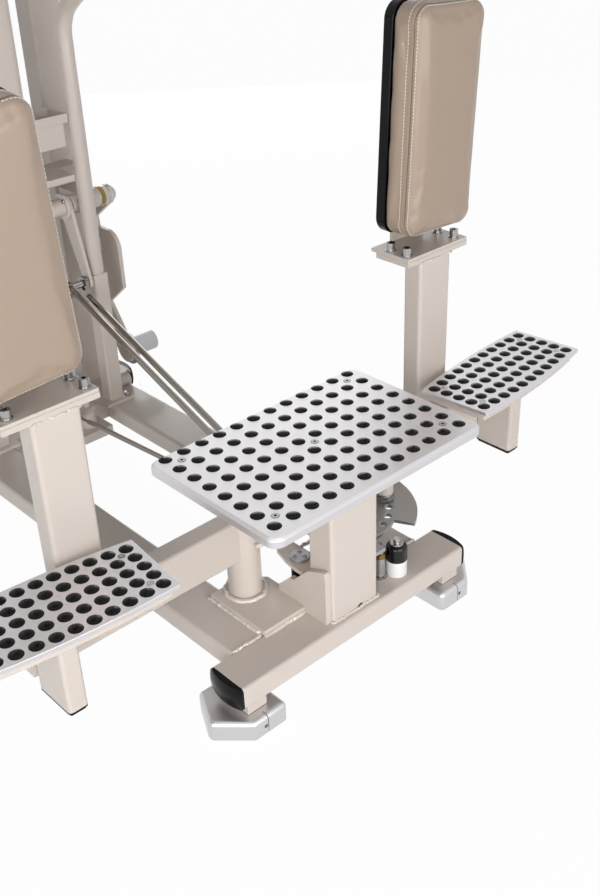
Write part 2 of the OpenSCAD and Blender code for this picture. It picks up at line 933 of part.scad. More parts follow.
module handle_grips() {
    bend = 90 - handle_slope;
    end_y = handle_y - handle_bend_radius + handle_bend_radius * cos(bend);
    end_z = handle_bend_z + handle_bend_radius * sin(bend);
    color(black) place() both() translate([handle_x, end_y, end_z]) rotate([bend, 0, 0])
        translate([0, 0, handle_run]) {
            ring(handle_radius + tube_wall, handle_radius + gap / 2, grip_length);
            translate([0, 0, grip_length]) cylinder(h = tube_wall, r = handle_radius + tube_wall);
        }
}

module tray() {
    side = column_half_width + gap;
    color(cream) place() {
        span([side, tray_front_y, tray_z], [tray_side_x, tray_back_y, tray_z + tray_wall]);
        difference() {
            span([side, tray_front_y, tray_z], [tray_side_x, tray_back_y, tray_z + tray_lip]);
            span([side + tray_wall, tray_front_y + tray_wall, tray_z - 1],
                [tray_side_x - tray_wall, tray_back_y - tray_wall, tray_z + tray_lip + 1]);
        }
        span([side, tray_front_y + 2 * tray_wall, tray_z - tray_box_height],
            [tray_side_x - 2 * tray_wall, tray_back_y - 2 * tray_wall, tray_z]);
        span([side, tray_front_y + tray_wall, shelf_z],
            [tray_side_x, upright_y - tie_half_depth, shelf_z + shelf_thickness]);
    }
}

module lever_housing() {
    length = housing_right_x - housing_left_x;
    block_x = housing_left_x + lever_housing_radius;
    color(cream) place() {
        difference() {
            union() {
                translate([housing_left_x, lever_y, lever_z]) rotate([0, 90, 0])
                    cylinder(h = length, r = lever_housing_radius);
                span([block_x, lever_y, lever_z - lever_housing_radius],
                    [housing_right_x - weld_radius, upright_y, lever_z + lever_housing_radius]);
            }
            translate([housing_left_x - 1, lever_y, lever_z]) rotate([0, 90, 0])
                cylinder(h = length + 2, r = lever_bore);
        }
        translate([column_half_width, lever_y, lever_z]) rotate([90, 0, 90]) linear_extrude(bearing_thickness)
            difference() {
                rounded_rectangle(2 * bearing_half_y, 2 * bearing_half_z, tube_corner);
                circle(lever_bore);
            }
    }
}

module idler_stud() {
    half = idler_stud_radius * 4;
    color(cream) place() {
        span([idler_x - half, idler_y - half, beam_bottom_z + beam_height / 2],
            [idler_x + half, column_front_y, cross_top_z]);
        translate([idler_x, idler_y, cross_top_z])
            cylinder(h = link_bottom_z - gap - cross_top_z, r = 2 * idler_stud_radius);
        translate([idler_x, idler_y, link_bottom_z - gap])
            cylinder(h = 3 * link_thickness, r = idler_stud_radius);
    }
}

// Frame bolts: on the handle flanges, the bump stop and the bearing plate
module frame_bolts() {
    color(chrome) place() {
        both() for (y = [-1, 1])
            translate([handle_x + flange_half_x - bolt_washer_radius / 2 - tube_wall,
                handle_y + y * (flange_half_y - bolt_washer_radius - 1), cross_top_z + flange_thickness])
                cylinder(h = frame_bolt_height, r = frame_bolt_radius);
        translate([bump_x, bump_y, bump_base_top + bump_rubber_height]) {
            cylinder(h = washer_thickness, r = bump_radius - bump_round);
            cylinder(h = washer_thickness + frame_bolt_height, r = frame_bolt_radius - 1);
        }
    }
}

// Arms

// Two lobes of different size joined by straight sides
module link_shape(from, from_radius, to, to_radius) {
    step = to - from;
    side = [-step[1], step[0]] / norm(step);
    translate(from) circle(from_radius);
    translate(to) circle(to_radius);
    polygon([from + side * from_radius * web_share, from - side * from_radius * web_share,
        to - side * to_radius * web_share, to + side * to_radius * web_share]);
}

module arm_bar() {
    start_x = pivot_x + shaft_bore + 1;
    difference() {
        union() {
            translate([pivot_x, pivot_y, hub_bottom_z]) cylinder(h = hub_length, r = hub_radius);
            translate([start_x, pivot_y, bar_bottom_z + bar_height / 2])
                tube_along_x(bar_depth, bar_height, bar_end_x - start_x, tube_wall, tube_corner);
            translate([bar_end_x - tube_wall, pivot_y, bar_bottom_z + bar_height / 2]) rotate([90, 0, 90])
                linear_extrude(tube_wall) rounded_rectangle(bar_depth, bar_height, tube_corner);
        }
        translate([pivot_x, pivot_y, hub_bottom_z - 1]) cylinder(h = hub_length + 2, r = shaft_bore);
    }
}

module arm_post() {
    height = arm_post_top - bar_bottom_z;
    translate([arm_post_x, bar_back_y + bar_depth / 2, bar_bottom_z])
        rectangular_tube(arm_post_width, bar_depth, height, tube_wall, tube_corner);
    span([top_plate_inner_x, bar_back_y, arm_post_top], [top_plate_outer_x, bracket_back_y - 2 * tube_corner, top_plate_z]);
}

module stub() {
    top = step_bottom_z - carrier_wall;
    middle = [stub_x + stub_width / 2, stub_front_y + stub_depth / 2];
    translate([middle[0], middle[1], stub_bottom_z])
        rectangular_tube(stub_width, stub_depth, top - stub_bottom_z, tube_wall, tube_corner);
}

module stub_plug() {
    middle = [stub_x + stub_width / 2, stub_front_y + stub_depth / 2];
    translate([middle[0], middle[1], stub_bottom_z]) rotate([0, 180, 0]) {
        linear_extrude(cap_rim) rounded_rectangle(stub_width, stub_depth, tube_corner);
        translate([0, 0, cap_rim]) linear_extrude(plug_height - cap_rim)
            rounded_rectangle(stub_width - tube_corner, stub_depth - tube_corner, tube_corner / 2);
    }
}

// A crank lobe from the hub, its outer half left open for the arm bar
module crank_lobe(radius, bottom_z, thickness, pin_side, pin_back, lobe) {
    pin = [pivot_x - pin_side, pivot_y - pin_back];
    translate([0, 0, bottom_z]) linear_extrude(thickness) difference() {
        link_shape([pivot_x, pivot_y], hub_radius + lobe / 2, pin, lobe);
        translate([pivot_x, pivot_y]) circle(hub_radius);
        translate([pivot_x, pivot_y - radius]) square([radius, 2 * radius]);
    }
}

// A crank pin with its retaining washer
module crank_pin(pin, bottom_z, radius, eye) {
    translate([pin[0], pin[1], bottom_z]) {
        cylinder(h = eye + 2 * gap, r = radius);
        translate([0, 0, eye + 2 * gap]) cylinder(h = washer_thickness, r = radius + washer_thickness);
    }
}

module drive_crank(bottom_z) {
    crank_lobe(crank_radius, bottom_z, crank_thickness, crank_side, crank_back, eye_radius);
    crank_pin([rod_pin_x, rod_pin_y], bottom_z + crank_thickness, crank_pin_radius, eye_thickness);
}

module left_crank() {
    color(cream) place() left_side() drive_crank(crank_bottom_z + crank_rise);
}

// The right hub also carries the link crank and the stop finger
module right_crank() {
    color(cream) place() {
        drive_crank(crank_bottom_z);
        crank_lobe(link_radius, link_bottom_z, link_thickness, link_side, link_back, link_eye_radius);
        crank_pin([link_pin_x, link_pin_y], link_bottom_z + link_thickness, link_pin_radius, link_thickness);
        translate([pivot_x, pivot_y, link_bottom_z]) rotate([0, 0, finger_angle]) difference() {
            translate([0, -finger_half, 0]) cube([finger_reach, 2 * finger_half, finger_thickness]);
            translate([0, 0, -1]) cylinder(h = finger_thickness + 2, r = hub_radius);
        }
    }
}

// The lower bush of each hub
module bushes() {
    translate([pivot_x, pivot_y, plate_top_z]) ring(hub_radius + washer_thickness, shaft_bore, bush_thickness - gap);
}

module step_outline(inset) {
    half = step_depth / 2 + step_bulge;
    arc = (step_length * step_length / 4 + step_bulge * step_bulge) / (2 * step_bulge);
    intersection() {
        rounded_rectangle(step_length - 2 * inset, 2 * half - 2 * inset, step_corner);
        translate([0, half - arc]) circle(arc - inset, $fn = 360);
        translate([0, arc - half]) circle(arc - inset, $fn = 360);
    }
}

module step_frame(height) {
    translate([step_x, step_y, height]) rotate([0, 0, step_turn]) children();
}

module step_carrier() {
    step_frame(carrier_bottom_z) difference() {
        linear_extrude(carrier_height) step_outline(carrier_inset);
        translate([0, 0, -1]) linear_extrude(carrier_height - carrier_wall + 1)
            step_outline(carrier_inset + carrier_wall);
    }
}

module step_plate() {
    step_frame(step_bottom_z) linear_extrude(step_thickness) step_outline(0);
}

module step_studs() {
    middle = (step_columns - 1) / 2;
    step_frame(step_height) for (column = [0:step_columns - 1], row = [0:step_rows - 1]) {
        along = column - middle;
        pitch = step_pitch * (step_end_share + step_rise_share * (1 - along * along / middle / middle));
        translate([along * step_pitch, (row - (step_rows - 1) / 2) * pitch, 0]) stud();
    }
}

module arm_bolts() {
    for (x = [bolt_inner_x, bolt_outer_x], y = [bolt_front_y, bolt_back_y])
        translate([x, y, bracket_top_z]) socket_screw();
    for (x = [-1, 1], z = [1, 2])
        translate([cushion_x + x * bracket_half_x / 2, bracket_back_y, top_plate_z + z * bracket_height / 3])
            rotate([-90, 0, 0]) cylinder(h = bolt_washer_height * 2, r = bolt_head_radius);
    step_frame(step_height) for (x = [-1, 1], y = [-1, 1])
        translate([x * step_screw_x, y * step_screw_y, 0]) plate_screw();
}

module pad_bracket() {
    span([top_plate_inner_x, bar_back_y, top_plate_z], [top_plate_outer_x, bracket_back_y, bracket_top_z]);
    span([cushion_x - bracket_half_x, bracket_back_y - bracket_thickness, top_plate_z],
        [cushion_x + bracket_half_x, bracket_back_y, top_plate_z + bracket_height]);
}

module pad_frame() {
    translate([cushion_x, 0, cushion_bottom_z]) rotate([0, cushion_lean, 0])
        translate([0, 0, cushion_height / 2]) rotate([90, 0, 0]) children();
}

module pad_board() {
    pad_frame() translate([0, 0, -board_back_y]) linear_extrude(board_thickness)
        rounded_rectangle(cushion_width - 2 * board_inset, cushion_height - 2 * board_inset,
            cushion_corner - board_inset);
}

// The points of one ring of the cushion's skin
function pad_ring(inset, level) = let (
    corner = max(cushion_corner - inset / 2, cushion_waist),
    wide = cushion_width / 2 - inset - corner,
    tall = cushion_height / 2 - inset - corner,
    arc = 8
) [
    for (quarter = [0:3], index = [0:arc])
        let (
            turn = 90 * quarter + 90 * index / arc,
            x = (quarter == 0 || quarter == 3) ? wide : -wide,
            y = quarter < 2 ? tall : -tall
        )
        [x + corner * cos(turn), y + corner * sin(turn), level]
];

// A padded block: drawn-in sides, a sewn channel near the front edge and a crowned face
module cushion() {
    edge = cushion_depth - cushion_crown;
    rings = [
        [board_inset, 0], [0, seam_setback / 2], [cushion_waist, edge / 2], [0, edge - seam_setback / 2],
        [cushion_waist / 4, edge - cushion_waist], [cushion_waist, edge], [cushion_waist + channel_width, edge + 1],
        [cushion_waist + 1.5 * channel_width, edge - 2], [cushion_waist + 2 * channel_width, edge + 1],
        [5 * channel_width, edge + cushion_crown * 0.5], [9 * channel_width, edge + cushion_crown * 0.85],
        [14 * channel_width, edge + cushion_crown]
    ];
    count = 36;
    last = len(rings) - 1;
    points = [for (ring = rings) each pad_ring(ring[0], ring[1])];
    sides = [for (level = [0:last - 1], index = [0:count - 1])
        let (next = (index + 1) % count, low = level * count, high = low + count)
        each [[low + index, high + index, high + next], [low + index, high + next, low + next]]];
    bottom = [for (index = [1:count - 2]) [0, index, index + 1]];
    top = [for (index = [1:count - 2]) [last * count, last * count + index + 1, last * count + index]];
    polyhedron(points, concat(sides, bottom, top));
}

module pad_cushion() {
    pad_frame() translate([0, 0, -board_front_y + gap]) cushion();
}

// Both arms, one sub-part each

module left_arm_bar() {
    color(cream) place() left_side() arm_bar();
}

module right_arm_bar() {
    color(cream) place() arm_bar();
}

module left_arm_post() {
    color(cream) place() left_side() arm_post();
}

module right_arm_post() {
    color(cream) place() arm_post();
}

module left_stub() {
    color(cream) place() left_side() stub();
}

module right_stub() {
    color(cream) place() stub();
}

module left_stub_plug() {
    color(black) place() left_side() stub_plug();
}

module right_stub_plug() {
    color(black) place() stub_plug();
}

module left_bushes() {
    color(cream) place() left_side() bushes();
}

module right_bushes() {
    color(cream) place() bushes();
}

module left_step_carrier() {
    color(cream) place() left_side() step_carrier();
}

module right_step_carrier() {
    color(cream) place() step_carrier();
}

module left_step_plate() {
    color(silver) place() left_side() step_plate();
}

module right_step_plate() {
    color(silver) place() step_plate();
}

module left_step_studs() {
    color(black) place() left_side() step_studs();
}

module right_step_studs() {
    color(black) place() step_studs();
}

module left_arm_bolts() {
    color(chrome) place() left_side() arm_bolts();
}

module right_arm_bolts() {
    color(chrome) place() arm_bolts();
}

module left_pad_bracket() {
    color(cream) place() left_side() pad_bracket();
}

module right_pad_bracket() {
    color(cream) place() pad_bracket();
}

module left_pad_board() {
    color(black) place() left_side() pad_board();
}

module right_pad_board() {
    color(black) place() pad_board();
}

module left_cushion() {
    color(taupe) place() left_side() pad_cushion();
}

module right_cushion() {
    color(taupe) place() pad_cushion();
}

// Lever, seen along X: every plate is drawn in depth and height

module lever_plate(from_x, thickness) {
    translate([from_x, 0, 0]) rotate([90, 0, 90]) linear_extrude(thickness) difference() {
        children();
        translate([lever_y, lever_z]) circle(lever_bore);
    }
}

module fork_outline() {
    difference() {
        link_shape([lever_y, lever_z], fork_lobe, [lever_pin_y, lever_pin_z], fork_tip);
        translate([lever_pin_y, lever_pin_z]) circle(lever_pin_radius + running_gap);
    }
}

module weight_outline() {
    axis = [lever_y, lever_z];
    horn = [horn_y, horn_z];
    knee = [(neck_front_y + wide_back_y) / 2 - tube_corner, neck_top_z];
    difference() {
        union() {
            link_shape(axis, weight_lobe, [neck_knee_y, neck_knee_z], weight_lobe + 1);
            link_shape([neck_knee_y, neck_knee_z], weight_lobe + 1,
                [wide_back_y - wide_corner, wide_top_z - wide_corner], wide_corner);
            polygon([
                [wide_front_y, wide_top_z - wide_corner], [wide_front_y, wide_bottom_z],
                [neck_front_y, neck_top_z], [knee[0] + horn_lobe, neck_top_z],
                [wide_back_y, wide_bottom_z], [wide_back_y, wide_top_z - wide_corner]
            ]);
            translate([wide_front_y + wide_corner, wide_top_z - wide_corner]) circle(wide_corner);
            translate([wide_back_y - wide_corner, wide_top_z - wide_corner]) circle(wide_corner);
            translate([wide_front_y + wide_corner, wide_top_z - wide_corner])
                square([wide_back_y - wide_front_y - 2 * wide_corner, wide_corner]);
            link_shape([knee[0], neck_top_z], horn_lobe, horn, horn_lobe);
        }
        translate([slot_y, slot_z]) rotated_slot();
    }
}

module rotated_slot() {
    square([2 * slot_radius, 2 * slot_half], center = true);
    for (end = [-1, 1]) translate([0, end * slot_half]) circle(slot_radius);
}

module lever_arm() {
    color(cream) place() {
        lever_plate(fork_left_x, fork_thickness) fork_outline();
        lever_plate(fork_right_x, fork_thickness) fork_outline();
        translate([fork_left_x + fork_thickness, lever_y, lever_z])
            ring_along_x(sleeve_radius, lever_bore, fork_right_x - fork_left_x - fork_thickness);
        lever_plate(weight_plate_x, weight_plate_thickness) weight_outline();
    }
}

module lever_shaft() {
    nut_x = lever_shaft_end_x - 3 * washer_thickness;
    color(chrome) place() {
        translate([lever_shaft_start_x, lever_y, lever_z]) rotate([0, 90, 0])
            cylinder(h = lever_shaft_end_x - lever_shaft_start_x, r = lever_shaft_radius);
        translate([weight_plate_x + weight_plate_thickness + gap / 2, lever_y, lever_z]) rotate([0, 90, 0])
            cylinder(h = washer_thickness, r = sleeve_radius);
        translate([housing_right_x + gap, lever_y, lever_z]) rotate([0, 90, 0])
            cylinder(h = weight_plate_x - housing_right_x - 2 * gap, r = lever_housing_radius);
        translate([nut_x, lever_y, lever_z]) rotate([0, 90, 0])
            cylinder(h = 2 * washer_thickness, r = sleeve_radius - washer_thickness, $fn = 6);
        translate([fork_left_x, lever_pin_y, lever_pin_z]) rotate([0, 90, 0])
            cylinder(h = fork_right_x + fork_thickness - fork_left_x, r = lever_pin_radius);
    }
}

module weight_horn() {
    start = weight_plate_x + weight_plate_thickness;
    color(silver) place() translate([start, horn_y, horn_z]) rotate([0, 90, 0]) {
        cylinder(h = horn_flange_thickness, r = horn_flange_radius);
        translate([0, 0, horn_flange_thickness])
            ring(horn_radius, horn_radius - tube_wall, horn_length - horn_flange_thickness);
        translate([0, 0, horn_length]) cylinder(h = tube_wall, r = horn_radius);
    }
}

// A drive rod: a flat eye on the crank, a round bar and a tall slotted eye on the lever
module drive_rod(front, rear_x, rise) {
    rear = [rear_x, lever_pin_y - lever_eye_side + washer_thickness, lever_pin_z + rise];
    step = rear - front;
    start = front + step * (eye_radius - washer_thickness / 2) / norm(step);
    middle_z = lever_pin_z - (lever_reach - lever_drop) / 2;
    translate([front[0], front[1], front[2] - eye_thickness / 2]) ring(eye_radius, eye_bore, eye_thickness);
    bar_between(start, rear, rod_radius);
    nut = front + step * 3 * eye_radius / norm(step);
    bar_between(nut, nut + step * eye_thickness / norm(step), rod_radius + washer_thickness);
    slot_y_size = 2 * (lever_pin_radius + lever_eye_slack_y);
    slot_z_size = 2 * (lever_pin_radius + lever_eye_slack_z);
    tail = max(0, -rise - 2 * lever_eye_half);
    translate([rear_x - lever_eye_half, lever_pin_y, middle_z]) rotate([90, 0, 90])
        linear_extrude(2 * lever_eye_half) difference() {
            translate([0, -tail / 2])
                rounded_rectangle(2 * lever_eye_side, slot_z_size + 3 * lever_eye_half + tail, tube_corner);
            rounded_rectangle(slot_y_size, slot_z_size, lever_pin_radius);
        }
}

module left_drive_rod() {
    eye_z = crank_bottom_z + crank_rise + crank_thickness + gap + eye_thickness / 2;
    color(chrome) place()
        drive_rod([-rod_pin_x, rod_pin_y, eye_z], lever_left_eye_x, lever_left_rise);
}

module right_drive_rod() {
    eye_z = crank_bottom_z + crank_thickness + gap + eye_thickness / 2;
    color(chrome) place()
        drive_rod([rod_pin_x, rod_pin_y, eye_z], lever_right_eye_x, lever_right_rise);
}

module lower_rod() {
    near = [link_pin_x, link_pin_y, link_eye_z + link_thickness / 2];
    far = [link_far_x, link_far_y, near[2]];
    step = (far - near) / norm(far - near);
    bore = link_pin_radius + running_gap;
    color(chrome) place() {
        for (end = [near, far]) translate([end[0], end[1], link_eye_z]) ring(link_eye_radius, bore, link_thickness);
        bar_between(near + step * (link_eye_radius - 1), far - step * (link_eye_radius - 1), link_neck_radius);
        bar_between(near + step * 4 * link_eye_radius, far - step * 4 * link_eye_radius, link_rod_radius);
    }
}

module idler_crank() {
    color(cream) place() {
        translate([0, 0, link_bottom_z]) linear_extrude(link_thickness) difference() {
            link_shape([idler_x, idler_y], 2 * idler_stud_radius, [link_far_x, link_far_y], link_eye_radius);
            translate([idler_x, idler_y]) circle(idler_stud_radius + running_gap);
        }
        crank_pin([link_far_x, link_far_y], link_bottom_z + link_thickness, link_pin_radius, link_thickness);
    }
}

module pin_sleeve() {
    color(cream) place() {
        difference() {
            union() {
                translate([pin_x, pin_y, sleeve_bottom_z])
                    cylinder(h = pin_sleeve_top - sleeve_bottom_z, r = pin_sleeve_radius);
                span([pin_x - pin_sleeve_radius / 2, pin_y, bar_bottom_z + tube_corner],
                    [pin_x + pin_sleeve_radius / 2, bar_front_y, pin_sleeve_top - tube_corner]);
            }
            translate([pin_x, pin_y, sleeve_bottom_z - 1])
                cylinder(h = pin_sleeve_top - sleeve_bottom_z + 2, r = pin_radius + running_gap);
        }
    }
}

module pull_pin() {
    color(chrome) place() translate([pin_x, pin_y, 0]) {
        translate([0, 0, pin_bottom_z]) cylinder(h = pin_top_z - pin_bottom_z, r = pin_radius);
        translate([0, 0, pin_top_z]) cylinder(h = knob_height, r = knob_radius);
    }
}

front_cross_tube();
rear_cross_tube();
leg_blocks();
cross_tube_caps();
cast_feet();
base_beams();
pivot_plates();
pivot_shafts();
main_post();
platform_saddle();
platform_plate();
platform_studs();
platform_screws();
bump_stop_base();
bump_stop_rubber();
index_plate();
centre_column();
uprights();
left_handle();
right_handle();
handle_grips();
tray();
lever_housing();
idler_stud();
frame_bolts();
left_arm_bar();
left_arm_post();
left_stub();
left_stub_plug();
left_crank();
left_bushes();
left_step_carrier();
left_step_plate();
left_step_studs();
left_arm_bolts();
left_pad_bracket();
left_pad_board();
left_cushion();
right_arm_bar();
right_arm_post();
right_stub();
right_stub_plug();
right_crank();
right_bushes();
right_step_carrier();
right_step_plate();
right_step_studs();
right_arm_bolts();
right_pad_bracket();
right_pad_board();
right_cushion();
lever_arm();
lever_shaft();
weight_horn();
left_drive_rod();
right_drive_rod();
lower_rod();
idler_crank();
pin_sleeve();
pull_pin();
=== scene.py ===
"""Looks of the standing adductor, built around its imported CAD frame."""

import json
import logging
import math
import random
from collections.abc import Iterable, Sequence
from dataclasses import dataclass, field
from enum import Enum
from typing import Any, ClassVar

import bmesh
import bpy
from mathutils import Matrix, Vector
from mathutils.bvhtree import BVHTree


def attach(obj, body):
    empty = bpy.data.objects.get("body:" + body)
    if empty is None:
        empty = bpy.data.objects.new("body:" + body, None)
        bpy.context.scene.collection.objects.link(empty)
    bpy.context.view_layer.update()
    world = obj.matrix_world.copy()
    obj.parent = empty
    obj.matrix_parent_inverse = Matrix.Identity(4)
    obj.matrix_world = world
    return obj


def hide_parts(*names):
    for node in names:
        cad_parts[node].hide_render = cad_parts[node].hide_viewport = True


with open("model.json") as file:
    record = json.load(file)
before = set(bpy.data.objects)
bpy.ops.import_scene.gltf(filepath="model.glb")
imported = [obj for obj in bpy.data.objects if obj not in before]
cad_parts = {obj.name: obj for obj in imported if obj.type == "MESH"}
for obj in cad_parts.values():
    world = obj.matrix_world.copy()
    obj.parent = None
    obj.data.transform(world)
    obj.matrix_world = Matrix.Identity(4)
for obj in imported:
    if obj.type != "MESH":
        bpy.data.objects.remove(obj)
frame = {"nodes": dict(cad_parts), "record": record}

LOG = logging.getLogger("standing_adductor")

Pair = tuple[float, float]
Triple = tuple[float, float, float]

MILLIMETRE = 0.001
FULL_TURN = 2 * math.pi
SIDES = ((-1, "left"), (1, "right"))
"""Sign of X and name of each side."""
DEPTH_SHIFT = -470.5
"""Distance along Y, in millimetres, from the stud grid's middle to the row frame's origin."""


def at(x: float, y: float, z: float) -> Vector:
    """Gives a point of the row frame.

    Args:
        x: Position across, in millimetres from the middle.
        y: Position along the depth, in millimetres from the stud grid's middle.
        z: Height above the floor, in millimetres.

    Returns:
        The point in metres.
    """
    return Vector((x, y + DEPTH_SHIFT, z)) * MILLIMETRE


class Paint(Enum):
    """Every finish on the object, by its material's name."""

    CREAM = "cream powder coat"
    CAST = "cast silver"
    PLATE = "satin plate"
    BLACK = "black plastic"
    RUBBER = "black rubber"
    CHROME = "bright steel"
    ROD = "polished rod"
    SHAFT = "machined steel"
    WELD = "painted weld"
    WHITE = "white plastic"
    BRASS = "brass"
    BOARD = "gloss board"
    LEATHER = "taupe leather"
    THREAD = "pale thread"
    SEAM = "seam shadow"
    FLOOR = "floor"


@dataclass(frozen=True)
class Finish:
    """One finish as plain numbers.

    Args:
        colour: Base colour, linear red, green and blue.
        roughness: Middle roughness of the surface.
        metallic: Share of metal.
        coat: Weight of the clear coat.
        grain: Size of the fine relief, in cycles per metre.
        relief: Depth of the fine relief, in metres.
        mottle: Share by which the roughness varies over the piece.
        specular: Strength of the plain reflection, 0.5 for a common one.
    """

    colour: tuple[float, float, float]
    roughness: float
    metallic: float = 0.0
    coat: float = 0.0
    grain: float = 0.0
    relief: float = 0.0
    mottle: float = 0.02
    specular: float = 0.5


FINISHES: dict[Paint, Finish] = {
    Paint.CREAM: Finish((0.59, 0.525, 0.472), 0.34, coat=0.25, grain=620.0, relief=0.00004),
    Paint.CAST: Finish((0.61, 0.605, 0.615), 0.36, metallic=0.92, grain=900.0, relief=0.00012, mottle=0.06),
    Paint.PLATE: Finish((0.66, 0.645, 0.66), 0.42, metallic=0.95, grain=1500.0, relief=0.00003, mottle=0.08),
    Paint.BLACK: Finish((0.003, 0.0028, 0.003), 0.20, grain=800.0, relief=0.00002, specular=0.14),
    Paint.RUBBER: Finish((0.003, 0.003, 0.003), 0.20, specular=0.4),
    Paint.CHROME: Finish((0.42, 0.41, 0.41), 0.14, metallic=1.0),
    Paint.ROD: Finish((0.25, 0.225, 0.205), 0.12, metallic=1.0),
    Paint.WELD: Finish((0.66, 0.60, 0.548), 0.24, coat=0.4),
    Paint.SHAFT: Finish((0.42, 0.42, 0.43), 0.38, metallic=0.9, grain=500.0, relief=0.00002),
    Paint.WHITE: Finish((0.78, 0.77, 0.76), 0.4),
    Paint.BRASS: Finish((0.27, 0.165, 0.045), 0.26, metallic=1.0),
    Paint.BOARD: Finish((0.002, 0.002, 0.003), 0.16, specular=0.14),
    Paint.LEATHER: Finish((0.345, 0.262, 0.200), 0.38, coat=0.16, grain=620.0, relief=0.00007, mottle=0.05),
    Paint.THREAD: Finish((0.74, 0.67, 0.58), 0.5),
    # Dark brown of painted shade, for the seam's groove and the gaps about the leg blocks.
    Paint.SEAM: Finish((0.10, 0.075, 0.055), 0.8),
    Paint.FLOOR: Finish((0.90, 0.90, 0.91), 0.6, mottle=0.0),
}

SLOT_PAINT: dict[str, Paint] = {
    "cream_paint": Paint.CREAM,
    "black_plastic": Paint.BLACK,
    "cast_silver": Paint.CAST,
    "plate_aluminium": Paint.PLATE,
    "steel_bright": Paint.CHROME,
    "shaft_steel": Paint.SHAFT,
    "white_plastic": Paint.WHITE,
    "black_rubber": Paint.RUBBER,
    "board_gloss": Paint.BOARD,
    "taupe_leather": Paint.LEATHER,
}


@dataclass
class NodeGroups:
    """Shader node groups shared by the materials. They give values that change over the surface only.

    Args:
        fine_detail: Detail of the fine relief.
        slow_scale: Size of the slow mottle, in cycles per metre.
        slow_detail: Detail of the slow mottle.
        crease_scale: Size of the leather's creases, in cycles per metre.
        cell_share: Height of the leather's cells against its creases.
    """

    fine_detail: float = 3.0
    slow_scale: float = 9.0
    slow_detail: float = 4.0
    crease_scale: float = 26.0
    cell_share: float = 0.8

    def surface_grain(self) -> bpy.types.NodeTree:
        """Builds the group that gives a fine relief and a slow mottle.

        Returns:
            The group, with a height and a share output.
        """
        tree = bpy.data.node_groups.new("surface grain", "ShaderNodeTree")
        tree.interface.new_socket("Scale", in_out="INPUT", socket_type="NodeSocketFloat")
        tree.interface.new_socket("Height", in_out="OUTPUT", socket_type="NodeSocketFloat")
        tree.interface.new_socket("Share", in_out="OUTPUT", socket_type="NodeSocketFloat")
        nodes, links = tree.nodes, tree.links
        entry, leave = nodes.new("NodeGroupInput"), nodes.new("NodeGroupOutput")
        place = nodes.new("ShaderNodeTexCoord")
        fine, slow = nodes.new("ShaderNodeTexNoise"), nodes.new("ShaderNodeTexNoise")
        fine.inputs["Detail"].default_value = self.fine_detail
        slow.inputs["Scale"].default_value = self.slow_scale
        slow.inputs["Detail"].default_value = self.slow_detail
        links.new(place.outputs["Object"], fine.inputs["Vector"])
        links.new(place.outputs["Object"], slow.inputs["Vector"])
        links.new(entry.outputs["Scale"], fine.inputs["Scale"])
        links.new(fine.outputs["Fac"], leave.inputs["Height"])
        links.new(slow.outputs["Fac"], leave.inputs["Share"])
        return tree

    def leather_grain(self) -> bpy.types.NodeTree:
        """Builds the group that gives leather its pebbled cells and soft creases.

        Returns:
            The group, with a height output.
        """
        tree = bpy.data.node_groups.new("leather grain", "ShaderNodeTree")
        tree.interface.new_socket("Scale", in_out="INPUT", socket_type="NodeSocketFloat")
        tree.interface.new_socket("Height", in_out="OUTPUT", socket_type="NodeSocketFloat")
        nodes, links = tree.nodes, tree.links
        entry, leave = nodes.new("NodeGroupInput"), nodes.new("NodeGroupOutput")
        place = nodes.new("ShaderNodeTexCoord")
        cells, soft = nodes.new("ShaderNodeTexVoronoi"), nodes.new("ShaderNodeTexNoise")
        cells.feature = "SMOOTH_F1"
        soft.inputs["Scale"].default_value = self.crease_scale
        add = nodes.new("ShaderNodeMath")
        add.operation = "MULTIPLY_ADD"
        add.inputs[1].default_value = self.cell_share
        links.new(place.outputs["Object"], cells.inputs["Vector"])
        links.new(place.outputs["Object"], soft.inputs["Vector"])
        links.new(entry.outputs["Scale"], cells.inputs["Scale"])
        links.new(cells.outputs["Distance"], add.inputs[0])
        links.new(soft.outputs["Fac"], add.inputs[2])
        links.new(add.outputs["Value"], leave.inputs["Height"])
        return tree


